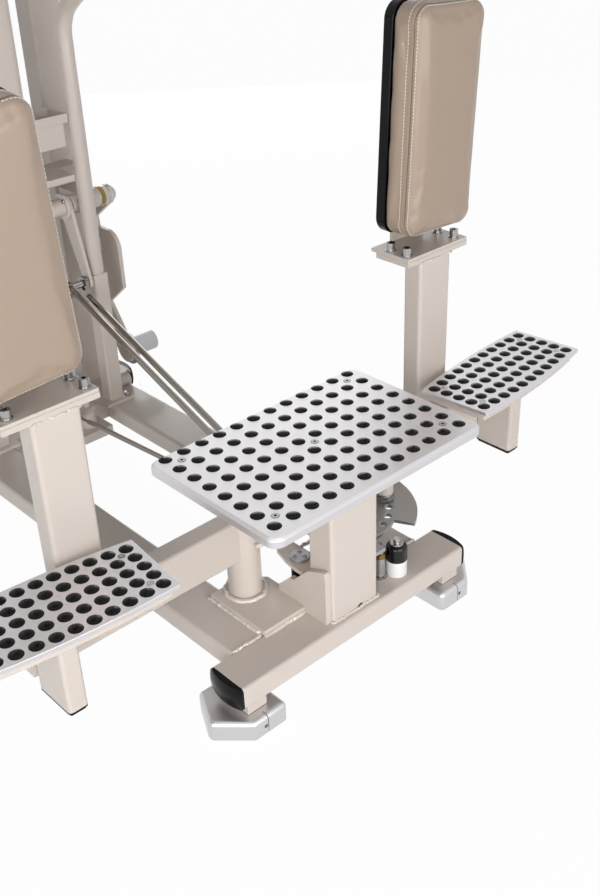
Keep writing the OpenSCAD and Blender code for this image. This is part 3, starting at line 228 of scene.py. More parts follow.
@dataclass
class Materials:
    """Builds each material once and hands it out.

    Args:
        groups: The maker of the shared node groups.
        made: The materials made so far, by finish.
        shared: The node groups made so far, by name.
        coat_roughness: Roughness of every clear coat.
        bump_strength: Strength of every fine relief.
        mottle_grain: Size of the relief in the group that gives the mottle, in cycles per metre.
        mottle_reach: How many times its mottle a finish's roughness moves either way.
    """

    groups: NodeGroups = field(default_factory=NodeGroups)
    made: dict[Paint, bpy.types.Material] = field(default_factory=dict)
    shared: dict[str, bpy.types.NodeTree] = field(default_factory=dict)
    coat_roughness: float = 0.12
    bump_strength: float = 0.6
    mottle_grain: float = 40.0
    mottle_reach: float = 3.0

    def get(self, paint: Paint) -> bpy.types.Material:
        """Gives the material of a finish.

        Args:
            paint: The finish.

        Returns:
            The material, built at the first call.
        """
        if paint not in self.made:
            self.made[paint] = self._build(paint)
        return self.made[paint]

    def _group(self, name: str) -> bpy.types.NodeTree:
        """Gives a shared node group.

        Args:
            name: Name of the method of NodeGroups that makes it.

        Returns:
            The group, built at the first call.
        """
        if name not in self.shared:
            makers = {"surface": self.groups.surface_grain, "leather": self.groups.leather_grain}
            self.shared[name] = makers[name]()
        return self.shared[name]

    def _build(self, paint: Paint) -> bpy.types.Material:
        """Builds one material from its numbers.

        Args:
            paint: The finish.

        Returns:
            The material.
        """
        finish = FINISHES[paint]
        material = bpy.data.materials.new(paint.value)
        material.use_nodes = True
        nodes, links = material.node_tree.nodes, material.node_tree.links
        shader = nodes["Principled BSDF"]
        shader.inputs["Base Color"].default_value = (*finish.colour, 1.0)
        shader.inputs["Roughness"].default_value = finish.roughness
        shader.inputs["Metallic"].default_value = finish.metallic
        shader.inputs["Specular IOR Level"].default_value = finish.specular
        shader.inputs["Coat Weight"].default_value = finish.coat
        shader.inputs["Coat Roughness"].default_value = self.coat_roughness
        if finish.relief > 0:
            group = nodes.new("ShaderNodeGroup")
            group.node_tree = self._group("leather" if paint is Paint.LEATHER else "surface")
            group.inputs["Scale"].default_value = finish.grain
            bump = nodes.new("ShaderNodeBump")
            bump.inputs["Strength"].default_value = self.bump_strength
            bump.inputs["Distance"].default_value = finish.relief
            links.new(group.outputs["Height"], bump.inputs["Height"])
            links.new(bump.outputs["Normal"], shader.inputs["Normal"])
        if finish.mottle > 0:
            group = nodes.new("ShaderNodeGroup")
            group.node_tree = self._group("surface")
            group.inputs["Scale"].default_value = self.mottle_grain
            tone = nodes.new("ShaderNodeMapRange")
            reach = self.mottle_reach * finish.mottle
            tone.inputs["To Min"].default_value = finish.roughness * (1 - reach)
            tone.inputs["To Max"].default_value = finish.roughness * (1 + reach)
            links.new(group.outputs["Share"], tone.inputs["Value"])
            links.new(tone.outputs["Result"], shader.inputs["Roughness"])
        return material


@dataclass
class Workshop:
    """Makes meshes, gives them a finish and hangs them on a body.

    Args:
        materials: The material library.
        sharp: Edges sharper than this, in degrees, are rounded or shaded sharp.
        weld_gap: Points nearer than this, in metres, are joined before rounding.
        flat_angle: Faces flatter than this to each other, in degrees, are joined before rounding.
        wide_bevel: Roundings wider than this, in metres, get more steps.
        wide_steps: Steps of a wide rounding.
        fine_steps: Steps of a fine rounding.
    """

    materials: Materials
    sharp: float = 35.0
    weld_gap: float = 0.00002
    flat_angle: float = 0.6
    wide_bevel: float = 0.002
    wide_steps: int = 5
    fine_steps: int = 2

    def add(
        self, name: str, mesh: bmesh.types.BMesh, paint: Paint, body: str, bevel: float = 0.0
    ) -> bpy.types.Object:
        """Makes an object of closed shapes in a mesh and frees the mesh.

        Args:
            name: Name of the piece.
            mesh: The mesh in row coordinates.
            paint: Its finish.
            body: The CAD body that it rides.
            bevel: Width of the bevelled edges, in metres.

        Returns:
            The object.
        """
        bmesh.ops.recalc_face_normals(mesh, faces=mesh.faces[:])
        data = bpy.data.meshes.new(name)
        mesh.to_mesh(data)
        mesh.free()
        piece = bpy.data.objects.new(name, data)
        bpy.context.scene.collection.objects.link(piece)
        data.materials.append(self.materials.get(paint))
        self.soften(piece, bevel)
        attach(piece, body)
        LOG.info("%s: %s, on %s", name, paint.value, body)
        return piece

    def soften(self, piece: bpy.types.Object, bevel: float) -> None:
        """Rounds the sharp edges of a piece and shades the rest smooth.

        Args:
            piece: The object.
            bevel: Width of the rounding in metres, or 0 for none.
        """
        piece.data.shade_smooth()
        if bevel > 0:
            weld = piece.modifiers.new("weld", "WELD")
            weld.merge_threshold = self.weld_gap
            planar = piece.modifiers.new("planar", "DECIMATE")
            planar.decimate_type = "DISSOLVE"
            planar.angle_limit = math.radians(self.flat_angle)
            rounding = piece.modifiers.new("rounding", "BEVEL")
            rounding.width = bevel
            rounding.segments = self.wide_steps if bevel > self.wide_bevel else self.fine_steps
            rounding.limit_method = "ANGLE"
            rounding.angle_limit = math.radians(self.sharp)
            rounding.harden_normals = True
            rounding.use_clamp_overlap = True
            even = piece.modifiers.new("even", "WEIGHTED_NORMAL")
            even.keep_sharp = True
        piece.data.set_sharp_from_angle(angle=math.radians(self.sharp))

    @staticmethod
    def bake(piece: bpy.types.Object) -> None:
        """Bakes the modifiers of a piece into its mesh.

        Args:
            piece: The object.
        """
        graph = bpy.context.evaluated_depsgraph_get()
        data = bpy.data.meshes.new_from_object(piece.evaluated_get(graph), depsgraph=graph)
        piece.modifiers.clear()
        piece.data = data
        piece.data.shade_smooth()


@dataclass(frozen=True)
class Turned:
    """A closed shape spun from a profile.

    Args:
        base: Point where the profile's height is zero.
        axis: Direction of the profile's height.
        profile: Pairs of radius and height, in metres, from bottom to top.
        sides: Number of sides.
    """

    base: Vector
    axis: Vector
    profile: Sequence[Pair]
    sides: int = 32

    def add_to(self, mesh: bmesh.types.BMesh) -> None:
        """Spins the profile and fills its two ends.

        Args:
            mesh: The mesh that takes the shape. Its other shapes are closed.
        """
        turn = self.axis.to_track_quat("Z", "Y").to_matrix()
        places = [self.base + turn @ Vector((radius, 0, height)) for radius, height in self.profile]
        chain = [mesh.verts.new(place) for place in places]
        edges = [mesh.edges.new(ends) for ends in zip(chain, chain[1:])]
        bmesh.ops.spin(
            mesh, geom=chain + edges, cent=self.base, axis=turn @ Vector((0, 0, 1)), angle=FULL_TURN,
            steps=self.sides, use_merge=True,
        )
        bmesh.ops.holes_fill(mesh, edges=[edge for edge in mesh.edges if edge.is_boundary], sides=0)


@dataclass(frozen=True)
class Stack:
    """A closed shape extruded through matching outlines.

    Args:
        outlines: Outlines of equally many points, from one end to the other.
    """

    outlines: Sequence[Sequence[Vector]]

    def add_to(self, mesh: bmesh.types.BMesh) -> tuple[bmesh.types.BMFace, bmesh.types.BMFace]:
        """Extrudes the first outline through all the others.

        Args:
            mesh: The mesh that takes the shape.

        Returns:
            The faces at the two ends.
        """
        first = mesh.faces.new([mesh.verts.new(point) for point in self.outlines[0]])
        last = first
        for outline in self.outlines[1:]:
            before = last
            grown = bmesh.ops.extrude_face_region(mesh, geom=[before])["geom"]
            last = next(item for item in grown if isinstance(item, bmesh.types.BMFace))
            if before is not first:
                bmesh.ops.delete(mesh, geom=[before], context="FACES_ONLY")
            for vertex, point in zip(last.verts, outline):
                vertex.co = point
        return first, last


@dataclass(frozen=True)
class PathTube:
    """A round tube along a line of points.

    Args:
        points: The line's points.
        radius: The tube's radius, in metres.
        sides: Number of sides.
        closed: True where the line closes on itself.
    """

    points: Sequence[Vector]
    radius: float
    sides: int = 8
    closed: bool = False

    def add_to(self, mesh: bmesh.types.BMesh) -> None:
        """Extrudes the tube and bridges its ends where it is closed.

        Args:
            mesh: The mesh that takes the tube.
        """
        first, last = Stack(self._sections()).add_to(mesh)
        if self.closed:
            rims = [*first.edges, *last.edges]
            bmesh.ops.delete(mesh, geom=[first, last], context="FACES_ONLY")
            bmesh.ops.bridge_loops(mesh, edges=rims)

    def _sections(self) -> list[list[Vector]]:
        """Gives the round sections, each turned as little as can be from the one before.

        Returns:
            The sections in the order of the points.
        """
        count = len(self.points)
        turns = [FULL_TURN * corner / self.sides for corner in range(self.sides)]
        sections, side = [], None
        for index, point in enumerate(self.points):
            if self.closed:
                along = self.points[(index + 1) % count] - self.points[index - 1]
            else:
                along = self.points[min(index + 1, count - 1)] - self.points[max(index - 1, 0)]
            along = along.normalized() if along.length > 0 else Vector((0, 0, 1))
            if side is None:
                side = along.orthogonal().normalized()
            side = (side - along * side.dot(along)).normalized()
            other = along.cross(side)
            reaches = [side * math.cos(turn) + other * math.sin(turn) for turn in turns]
            sections.append([point + reach * self.radius for reach in reaches])
        return sections


def spaced(points: Sequence[Vector], length: float, gap: float) -> Iterable[tuple[Vector, Vector]]:
    """Cuts a closed line into short stretches with gaps between.

    Args:
        points: The line's points.
        length: Length of a stretch.
        gap: Length of a gap.

    Yields:
        The two ends of each stretch.
    """
    around = [*points, points[0]]
    marks = [0.0]
    for before, after in zip(around, around[1:]):
        marks.append(marks[-1] + (after - before).length)
    total = marks[-1]
    count = max(int(total / (length + gap)), 1)
    step = total / count

    def place(distance: float) -> Vector:
        """Gives the point at a distance along the line.

        Args:
            distance: The distance, which may pass the line's end.

        Returns:
            The point.
        """
        distance %= total
        for index in range(len(marks) - 1):
            if marks[index + 1] >= distance:
                span = marks[index + 1] - marks[index]
                share = (distance - marks[index]) / span if span > 0 else 0.0
                return around[index].lerp(around[index + 1], share)
        return around[-1].copy()

    for index in range(count):
        yield place(index * step), place(index * step + length)


@dataclass(frozen=True)
class SoftBox:
    """One square lamp with a wide face.

    Args:
        name: Its name.
        place: Its middle, in metres.
        size: Its side, in metres.
        power: Its power, in watts.
    """

    name: str
    place: Triple
    size: float
    power: float


@dataclass
class Stage:
    """The camera, the floor and the light.

    Args:
        materials: The material library.
        camera_place: Place of the camera, in metres.
        forward: Direction in which it looks.
        roll: Its turn about that direction, in degrees.
        lens: Its focal length, in millimetres.
        film: Width of its film, in millimetres.
        clip: Nearest and farthest distance that it sees, in metres.
        floor_reach: Half the floor's side, in metres.
        floor_glow: Share of plain white in the floor where it is seen.
        aim: Point at which the lamps look, in metres.
        boxes: The lamps.
        sky_strength: Strength of the light from all round.
        sky_stops: Shares of the way from the lowest to the highest direction, with the sky's colour there.
    """

    materials: Materials
    camera_place: Triple = (-1.1332, -1.6991, 1.4213)
    forward: Triple = (0.5706, 0.6384, -0.5166)
    roll: float = -2.279
    lens: float = 44.80
    film: float = 36.0
    clip: Pair = (0.05, 60.0)
    floor_reach: float = 14.0
    floor_glow: float = 0.97
    aim: Triple = (0.0, -0.1, 0.5)
    boxes: tuple[SoftBox, ...] = (
        SoftBox("key", (-0.4, -3.2, 1.2), 2.2, 56.0),
        SoftBox("side", (-2.8, -2.0, 1.2), 2.0, 54.0),
        SoftBox("top", (-0.4, -0.6, 3.6), 2.4, 3.0),
        SoftBox("back", (2.6, 3.0, 1.0), 2.2, 30.0),
    )
    sky_strength: float = 0.44
    sky_stops: tuple[tuple[float, Triple], ...] = (
        (0.50, (0.76, 0.76, 0.77)),
        (0.68, (0.84, 0.84, 0.85)),
        (0.78, (0.44, 0.44, 0.44)),
        (0.87, (0.10, 0.10, 0.10)),
    )

    def build(self) -> None:
        """Builds the camera, the floor, the lamps and the sky."""
        self._camera()
        self._floor()
        self._lamps()
        self._sky()
        scene = bpy.context.scene
        scene.view_settings.view_transform = "Standard"
        scene.view_settings.look = "None"
        LOG.info("stage: camera, floor, %d lamps and sky", len(self.boxes))

    def _camera(self) -> None:
        """Places the camera where the photograph was taken from."""
        data = bpy.data.cameras.new("camera")
        data.lens = self.lens
        data.sensor_width = self.film
        data.clip_start, data.clip_end = self.clip
        camera = bpy.data.objects.new("camera", data)
        bpy.context.scene.collection.objects.link(camera)
        forward = Vector(self.forward).normalized()
        level = forward.cross(Vector((0, 0, 1))).normalized()
        above = level.cross(forward)
        roll = math.radians(self.roll)
        right = level * math.cos(roll) + above * math.sin(roll)
        up = right.cross(forward)
        matrix = Matrix((right, up, -forward)).transposed().to_4x4()
        matrix.translation = Vector(self.camera_place)
        camera.matrix_world = matrix
        bpy.context.scene.camera = camera

    def _floor(self) -> None:
        """Lays a wide pale floor."""
        mesh = bmesh.new()
        bmesh.ops.create_grid(mesh, x_segments=1, y_segments=1, size=self.floor_reach)
        data = bpy.data.meshes.new("floor")
        mesh.to_mesh(data)
        mesh.free()
        floor = bpy.data.objects.new("floor", data)
        bpy.context.scene.collection.objects.link(floor)
        data.materials.append(self._floor_paint())

    @staticmethod
    def _plain_view(nodes: bpy.types.Nodes, links: bpy.types.NodeLinks) -> bpy.types.NodeSocket:
        """Adds the nodes that tell whether the camera, a gloss or a glass looks at a place.

        Args:
            nodes: The nodes of the tree.
            links: The links of the tree.

        Returns:
            A socket with 1 for such a view and 0 for light that is scattered.
        """
        path = nodes.new("ShaderNodeLightPath")
        socket = path.outputs["Is Camera Ray"]
        for name in ("Is Glossy Ray", "Is Transmission Ray"):
            more = nodes.new("ShaderNodeMath")
            more.operation = "MAXIMUM"
            links.new(socket, more.inputs[0])
            links.new(path.outputs[name], more.inputs[1])
            socket = more.outputs["Value"]
        return socket

    def _floor_paint(self) -> bpy.types.Material:
        """Gives the floor a white that keeps only soft contact shadows.

        Returns:
            The floor's material.
        """
        material = self.materials.get(Paint.FLOOR)
        nodes, links = material.node_tree.nodes, material.node_tree.links
        shader, out = nodes["Principled BSDF"], nodes["Material Output"]
        glow, mix = nodes.new("ShaderNodeEmission"), nodes.new("ShaderNodeMixShader")
        share = nodes.new("ShaderNodeMath")
        share.operation = "MULTIPLY"
        share.inputs[1].default_value = self.floor_glow
        glow.inputs["Color"].default_value = (1.0, 1.0, 1.0, 1.0)
        glow.inputs["Strength"].default_value = 1.0
        links.new(self._plain_view(nodes, links), share.inputs[0])
        links.new(share.outputs["Value"], mix.inputs["Fac"])
        links.new(shader.outputs["BSDF"], mix.inputs[1])
        links.new(glow.outputs["Emission"], mix.inputs[2])
        links.new(mix.outputs["Shader"], out.inputs["Surface"])
        return material

    def _lamps(self) -> None:
        """Hangs the soft boxes about the object."""
        for box in self.boxes:
            data = bpy.data.lights.new(box.name, "AREA")
            data.shape = "SQUARE"
            data.size = box.size
            data.energy = box.power
            lamp = bpy.data.objects.new(box.name, data)
            lamp.location = box.place
            lamp.rotation_mode = "QUATERNION"
            lamp.rotation_quaternion = (Vector(self.aim) - Vector(box.place)).to_track_quat("-Z", "Y")
            lamp.visible_camera = False
            bpy.context.scene.collection.objects.link(lamp)

    def _sky(self) -> None:
        """Makes the surroundings grey for scattered light and white where they are seen."""
        world = bpy.data.worlds.new("studio")
        bpy.context.scene.world = world
        world.use_nodes = True
        nodes, links = world.node_tree.nodes, world.node_tree.links
        nodes.clear()
        out = nodes.new("ShaderNodeOutputWorld")
        seen, felt = nodes.new("ShaderNodeBackground"), nodes.new("ShaderNodeBackground")
        seen.inputs["Color"].default_value = (1.0, 1.0, 1.0, 1.0)
        seen.inputs["Strength"].default_value = 1.0
        felt.inputs["Strength"].default_value = self.sky_strength
        ramp = nodes.new("ShaderNodeValToRGB")
        stops = ramp.color_ramp.elements
        for index, (height, colour) in enumerate(self.sky_stops):
            stop = stops[index] if index < 2 else stops.new(height)
            stop.position = height
            stop.color = (*colour, 1.0)
        place, split = nodes.new("ShaderNodeTexCoord"), nodes.new("ShaderNodeSeparateXYZ")
        half = nodes.new("ShaderNodeMath")
        half.operation = "MULTIPLY_ADD"
        half.inputs[1].default_value = 0.5
        half.inputs[2].default_value = 0.5
        mix = nodes.new("ShaderNodeMixShader")
        links.new(place.outputs["Generated"], split.inputs["Vector"])
        links.new(split.outputs["Z"], half.inputs[0])
        links.new(half.outputs["Value"], ramp.inputs["Fac"])
        links.new(ramp.outputs["Color"], felt.inputs["Color"])
        links.new(self._plain_view(nodes, links), mix.inputs["Fac"])
        links.new(felt.outputs["Background"], mix.inputs[1])
        links.new(seen.outputs["Background"], mix.inputs[2])
        links.new(mix.outputs["Shader"], out.inputs["Surface"])


@dataclass
class CadFrame:
    """Gives every CAD node its finish and rounded edges.

    Args:
        nodes: The CAD nodes by name.
        record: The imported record.
        workshop: The workshop.
    """

    nodes: dict[str, bpy.types.Object]
    record: dict[str, Any]
    workshop: Workshop

    ROUNDINGS: ClassVar[dict[Paint, float]] = {
        Paint.CREAM: 0.0012,
        Paint.CAST: 0.0036,
        Paint.PLATE: 0.0008,
        Paint.BLACK: 0.0008,
        Paint.CHROME: 0.0006,
        Paint.SHAFT: 0.0008,
        Paint.WHITE: 0.0015,
        Paint.RUBBER: 0.0010,
        Paint.BOARD: 0.0025,
    }
    PLAIN: ClassVar[tuple[str, ...]] = ("platform_studs", "left_step_studs", "right_step_studs")
    OWN_PAINT: ClassVar[dict[str, Paint]] = {
        "left_drive_rod": Paint.ROD,
        "right_drive_rod": Paint.ROD,
        "lower_rod": Paint.ROD,
        "platform_screws": Paint.SHAFT,
        "left_step_screws": Paint.SHAFT,
        "right_step_screws": Paint.SHAFT,
    }

    def build(self) -> None:
        """Dresses all nodes."""
        slots = {row["node"]: row["material_slot"] for row in self.record["subparts"]}
        for name, node in self.nodes.items():
            paint = self.OWN_PAINT.get(name, SLOT_PAINT[slots[name]])
            node.data.materials.clear()
            node.data.materials.append(self.workshop.materials.get(paint))
            rounding = 0.0 if name in self.PLAIN else self.ROUNDINGS.get(paint, 0.0)
            self.workshop.soften(node, rounding)
            LOG.info("%s: %s", name, paint.value)


@dataclass
class Cushion:
    """One leather thigh cushion: a padded block, a sewn seam and two rows of stitches.

    The cushion's own frame has its width along X, its height along Z and its front towards -Y.

    Args:
        workshop: The workshop.
        side: -1 for the left arm and 1 for the right.
        name: Name of the side.
        width: Full width, in millimetres, as all lengths here that name no other unit.
        height: Full height.
        depth: Thickness in front of the board.
        corner: Radius of the outline's corners.
        least_corner: Least radius of a corner that is drawn in.
        lean: Turn of the cushion about its depth, in degrees.
        bottom_x: Distance of the lower edge's middle from the machine's middle.
        bottom_z: Height of the lower edge.
        back_y: Depth of the board's face.
        sections: Pairs of an inset of the outline and its distance in front of the board.
        voxel: Size of the voxels of the padding, in metres.
        pressure: Pressure of the padding.
        stiffness: Stiffness of the leather in the simulation.
        frames: Steps of the simulation.
        held_depth: Points nearer to the board than this, in metres, are held.
        cap: The most that a point moves in the simulation, in metres.
        smoothing: Factor and rounds of the smoothing after it.
        overfill: Thickness that the padding may add in front.
        seam_depth: Distance of the seam in front of the board.
        seam_pull: Depth of the groove that the seam draws.
        seam_reach: Width of that groove.
        seam_radius: Radius of the seam's dark line, painted shade in its groove.
        stitch: Length of a stitch.
        stitch_gap: Gap between two stitches.
        stitch_rise: Height of a stitch's middle above its ends.
        thread_radius: Radius of the thread.
        row_offsets: Distances of the two rows of stitches from the seam.
        feel_outset: How far outside the outline the leather is felt for.
        feel_step: Distance between two felt points.
        feel_corner_steps: Steps in each corner of the line from which the leather is felt for.
        tube_sides: Number of sides of the thread and of the seam's line.
        fill: How tight the cushion is filled, from 0 to 1; not used.
    """

    workshop: Workshop
    side: int
    name: str
    width: float = 192.0
    height: float = 425.0
    depth: float = 66.0
    corner: float = 35.0
    least_corner: float = 6.0
    lean: float = 3.2
    bottom_x: float = 447.5
    bottom_z: float = 654.0
    back_y: float = 171.0
    sections: tuple[Pair, ...] = (
        (4.0, 1.0), (2.5, 6.0), (2.0, 30.0), (2.2, 47.0), (3.4, 53.0), (6.5, 58.0), (11.0, 61.0),
        (18.0, 62.6), (34.0, 63.6), (60.0, 64.0),
    )
    voxel: float = 0.0045
    pressure: float = 4.0
    stiffness: float = 25.0
    frames: int = 20
    held_depth: float = 0.005
    cap: float = 0.004
    smoothing: tuple[float, int] = (0.5, 4)
    overfill: float = 3.0
    seam_depth: float = 47.0
    seam_pull: float = 1.5
    seam_reach: float = 2.2
    seam_radius: float = 0.6
    stitch: float = 4.2
    stitch_gap: float = 2.0
    stitch_rise: float = 0.2
    thread_radius: float = 0.8
    row_offsets: Pair = (-12.0, 6.0)
    feel_outset: float = 12.0
    feel_step: float = 12.0
    feel_corner_steps: int = 14
    tube_sides: int = 5
    fill: float = 0.85

    def build(self) -> None:
        leather = self._block()
        self._inflate(leather)
        self._sew(leather)
        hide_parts(f"{self.name}_cushion")
        self._stitches(leather)

    @property
    def _body(self) -> str:
        """Gives the name of the arm that carries the cushion."""
        return f"{self.name}_arm"

    def _place(self) -> Matrix:
        """Gives the matrix from the cushion's own frame to the row frame.

        Returns:
            The matrix.
        """
        lean = Matrix.Rotation(math.radians(self.lean * self.side), 4, "Y")
        return Matrix.Translation(at(self.bottom_x * self.side, self.back_y, self.bottom_z)) @ lean

    def _outline(self, inset: float, depth: float, steps: int = 8) -> list[Vector]:
        """Gives a rounded rectangle of the cushion's own frame.

        Args:
            inset: Distance inside the full outline, in millimetres.
            depth: Distance in front of the board, in millimetres.
            steps: Steps in each corner.

        Returns:
            The points in metres, going round once.
        """
        corner = max(self.corner - inset, self.least_corner)
        wide, tall = self.width / 2 - inset - corner, self.height / 2 - inset - corner
        points = []
        for quarter, (sx, sz) in enumerate(((1, 1), (-1, 1), (-1, -1), (1, -1))):
            for index in range(steps + 1):
                angle = math.radians(90 * quarter + 90 * index / steps)
                x = sx * wide + corner * math.cos(angle)
                z = sz * tall + corner * math.sin(angle)
                points.append(Vector((x, -depth, z + self.height / 2)) * MILLIMETRE)
        return points

    def _block(self) -> bpy.types.Object:
        """Makes the cushion's starting form, a little smaller than the finished one.

        Returns:
            The leather's object.
        """
        mesh = bmesh.new()
        Stack([self._outline(inset, depth) for inset, depth in self.sections]).add_to(mesh)
        mesh.transform(self._place())
        return self.workshop.add(f"{self.name}_leather", mesh, Paint.LEATHER, self._body)

    def _inflate(self, piece: bpy.types.Object) -> None:
        """Fills the cushion by a short cloth simulation and keeps its result.

        Args:
            piece: The leather's object.
        """
        scene = bpy.context.scene
        remesh = piece.modifiers.new("remesh", "REMESH")
        remesh.mode = "VOXEL"
        remesh.voxel_size = self.voxel
        Workshop.bake(piece)
        start = [vertex.co.copy() for vertex in piece.data.vertices]
        inverse = self._place().inverted()
        held = [index for index, co in enumerate(start) if -(inverse @ co).y < self.held_depth]
        group = piece.vertex_groups.new(name="held")
        group.add(held, 1.0, "REPLACE")
        cloth = piece.modifiers.new("cloth", "CLOTH")
        cloth.settings.use_pressure = True
        cloth.settings.uniform_pressure_force = self.pressure
        cloth.settings.effector_weights.gravity = 0.0
        cloth.settings.vertex_group_mass = "held"
        cloth.settings.tension_stiffness = self.stiffness
        cloth.settings.compression_stiffness = self.stiffness
        cloth.point_cache.frame_start, cloth.point_cache.frame_end = 1, self.frames
        scene.frame_start, scene.frame_end = 1, self.frames
        for number in range(1, self.frames + 1):
            scene.frame_set(number)
        graph = bpy.context.evaluated_depsgraph_get()
        filled = [vertex.co.copy() for vertex in piece.evaluated_get(graph).data.vertices]
        piece.modifiers.clear()
        scene.frame_set(1)
        for vertex, before, after in zip(piece.data.vertices, start, filled):
            move = after - before
            if move.length > self.cap:
                move = move.normalized() * self.cap
            vertex.co = before + move
        piece.vertex_groups.clear()
        smooth = piece.modifiers.new("smooth", "SMOOTH")
        smooth.factor, smooth.iterations = self.smoothing
        finer = piece.modifiers.new("finer", "SUBSURF")
        finer.levels = finer.render_levels = 1
        Workshop.bake(piece)

    def _sew(self, piece: bpy.types.Object) -> None:
        """Draws the seam into the cushion's side and keeps the cushion inside its box.

        Args:
            piece: The leather's object.
        """
        place = self._place()
        inverse = place.inverted()
        middle_z = self.height / 2 * MILLIMETRE
        deepest = -(self.depth + self.overfill) * MILLIMETRE
        for vertex in piece.data.vertices:
            local = inverse @ vertex.co
            depth = -local.y / MILLIMETRE
            away = Vector((local.x, 0, local.z - middle_z))
            pull = self.seam_pull * math.exp(-(((depth - self.seam_depth) / self.seam_reach) ** 2))
            if away.length > 0:
                local -= away.normalized() * pull * MILLIMETRE
            local.y = min(max(local.y, deepest), 0.0)
            vertex.co = place @ local

    def _around(self, tree: BVHTree, depth: float) -> list[Vector]:
        """Follows the leather's side at one depth.

        Args:
            tree: The leather's faces.
            depth: Distance in front of the board, in millimetres.

        Returns:
            The points on the leather, going round once.
        """
        place = self._place()
        centre = place @ (Vector((0, -depth, self.height / 2)) * MILLIMETRE)
        outline = self._outline(-self.feel_outset, depth, self.feel_corner_steps)
        found = []
        for start, finish in zip(outline, outline[1:] + outline[:1]):
            count = max(round((finish - start).length / (self.feel_step * MILLIMETRE)), 1)
            for index in range(count):
                outside = place @ start.lerp(finish, index / count)
                hit = tree.ray_cast(outside, (centre - outside).normalized())[0]
                found.append(hit if hit else outside)
        return found

    def _stitches(self, leather: bpy.types.Object) -> None:
        """Lays the seam's dark line, painted shade in its groove, and its two rows of stitches on the
        leather.

        Args:
            leather: The leather's object.
        """
        tree = BVHTree.FromObject(leather, bpy.context.evaluated_depsgraph_get())
        middle = self._place() @ (Vector((0, 0, self.height / 2)) * MILLIMETRE)
        # The seam's dark line is painted shade in its groove.
        seam = bmesh.new()
        line = self._around(tree, self.seam_depth)
        PathTube(line, self.seam_radius * MILLIMETRE, self.tube_sides, closed=True).add_to(seam)
        self.workshop.add(f"{self.name}_seam", seam, Paint.SEAM, self._body)
        thread = bmesh.new()
        for offset in self.row_offsets:
            line = self._around(tree, self.seam_depth + offset)
            for start, end in spaced(line, self.stitch * MILLIMETRE, self.stitch_gap * MILLIMETRE):
                centre = (start + end) / 2
                rise = centre - middle
                rise.y = 0
                top = centre + rise.normalized() * self.stitch_rise * MILLIMETRE
                PathTube([start, top, end], self.thread_radius * MILLIMETRE, self.tube_sides).add_to(thread)
        self.workshop.add(f"{self.name}_stitches", thread, Paint.THREAD, self._body)


@dataclass(frozen=True)
class FootPlace:
    """Where one foot stands and how its own plan lies.

    Args:
        side: -1 for the left and 1 for the right.
        origin: Distance of the plan's origin from the machine's middle, in millimetres.
        end: Depth of the foot's outer end, in millimetres.
        inward: Direction from that end towards the machine, 1 or -1.
    """

    side: int
    origin: float
    end: float
    inward: int

    def point(self, x: float, y: float, z: float) -> Vector:
        """Gives a point of the foot's own plan in the row frame, in metres."""
        return at(self.side * (self.origin + x), self.end + self.inward * y, z)


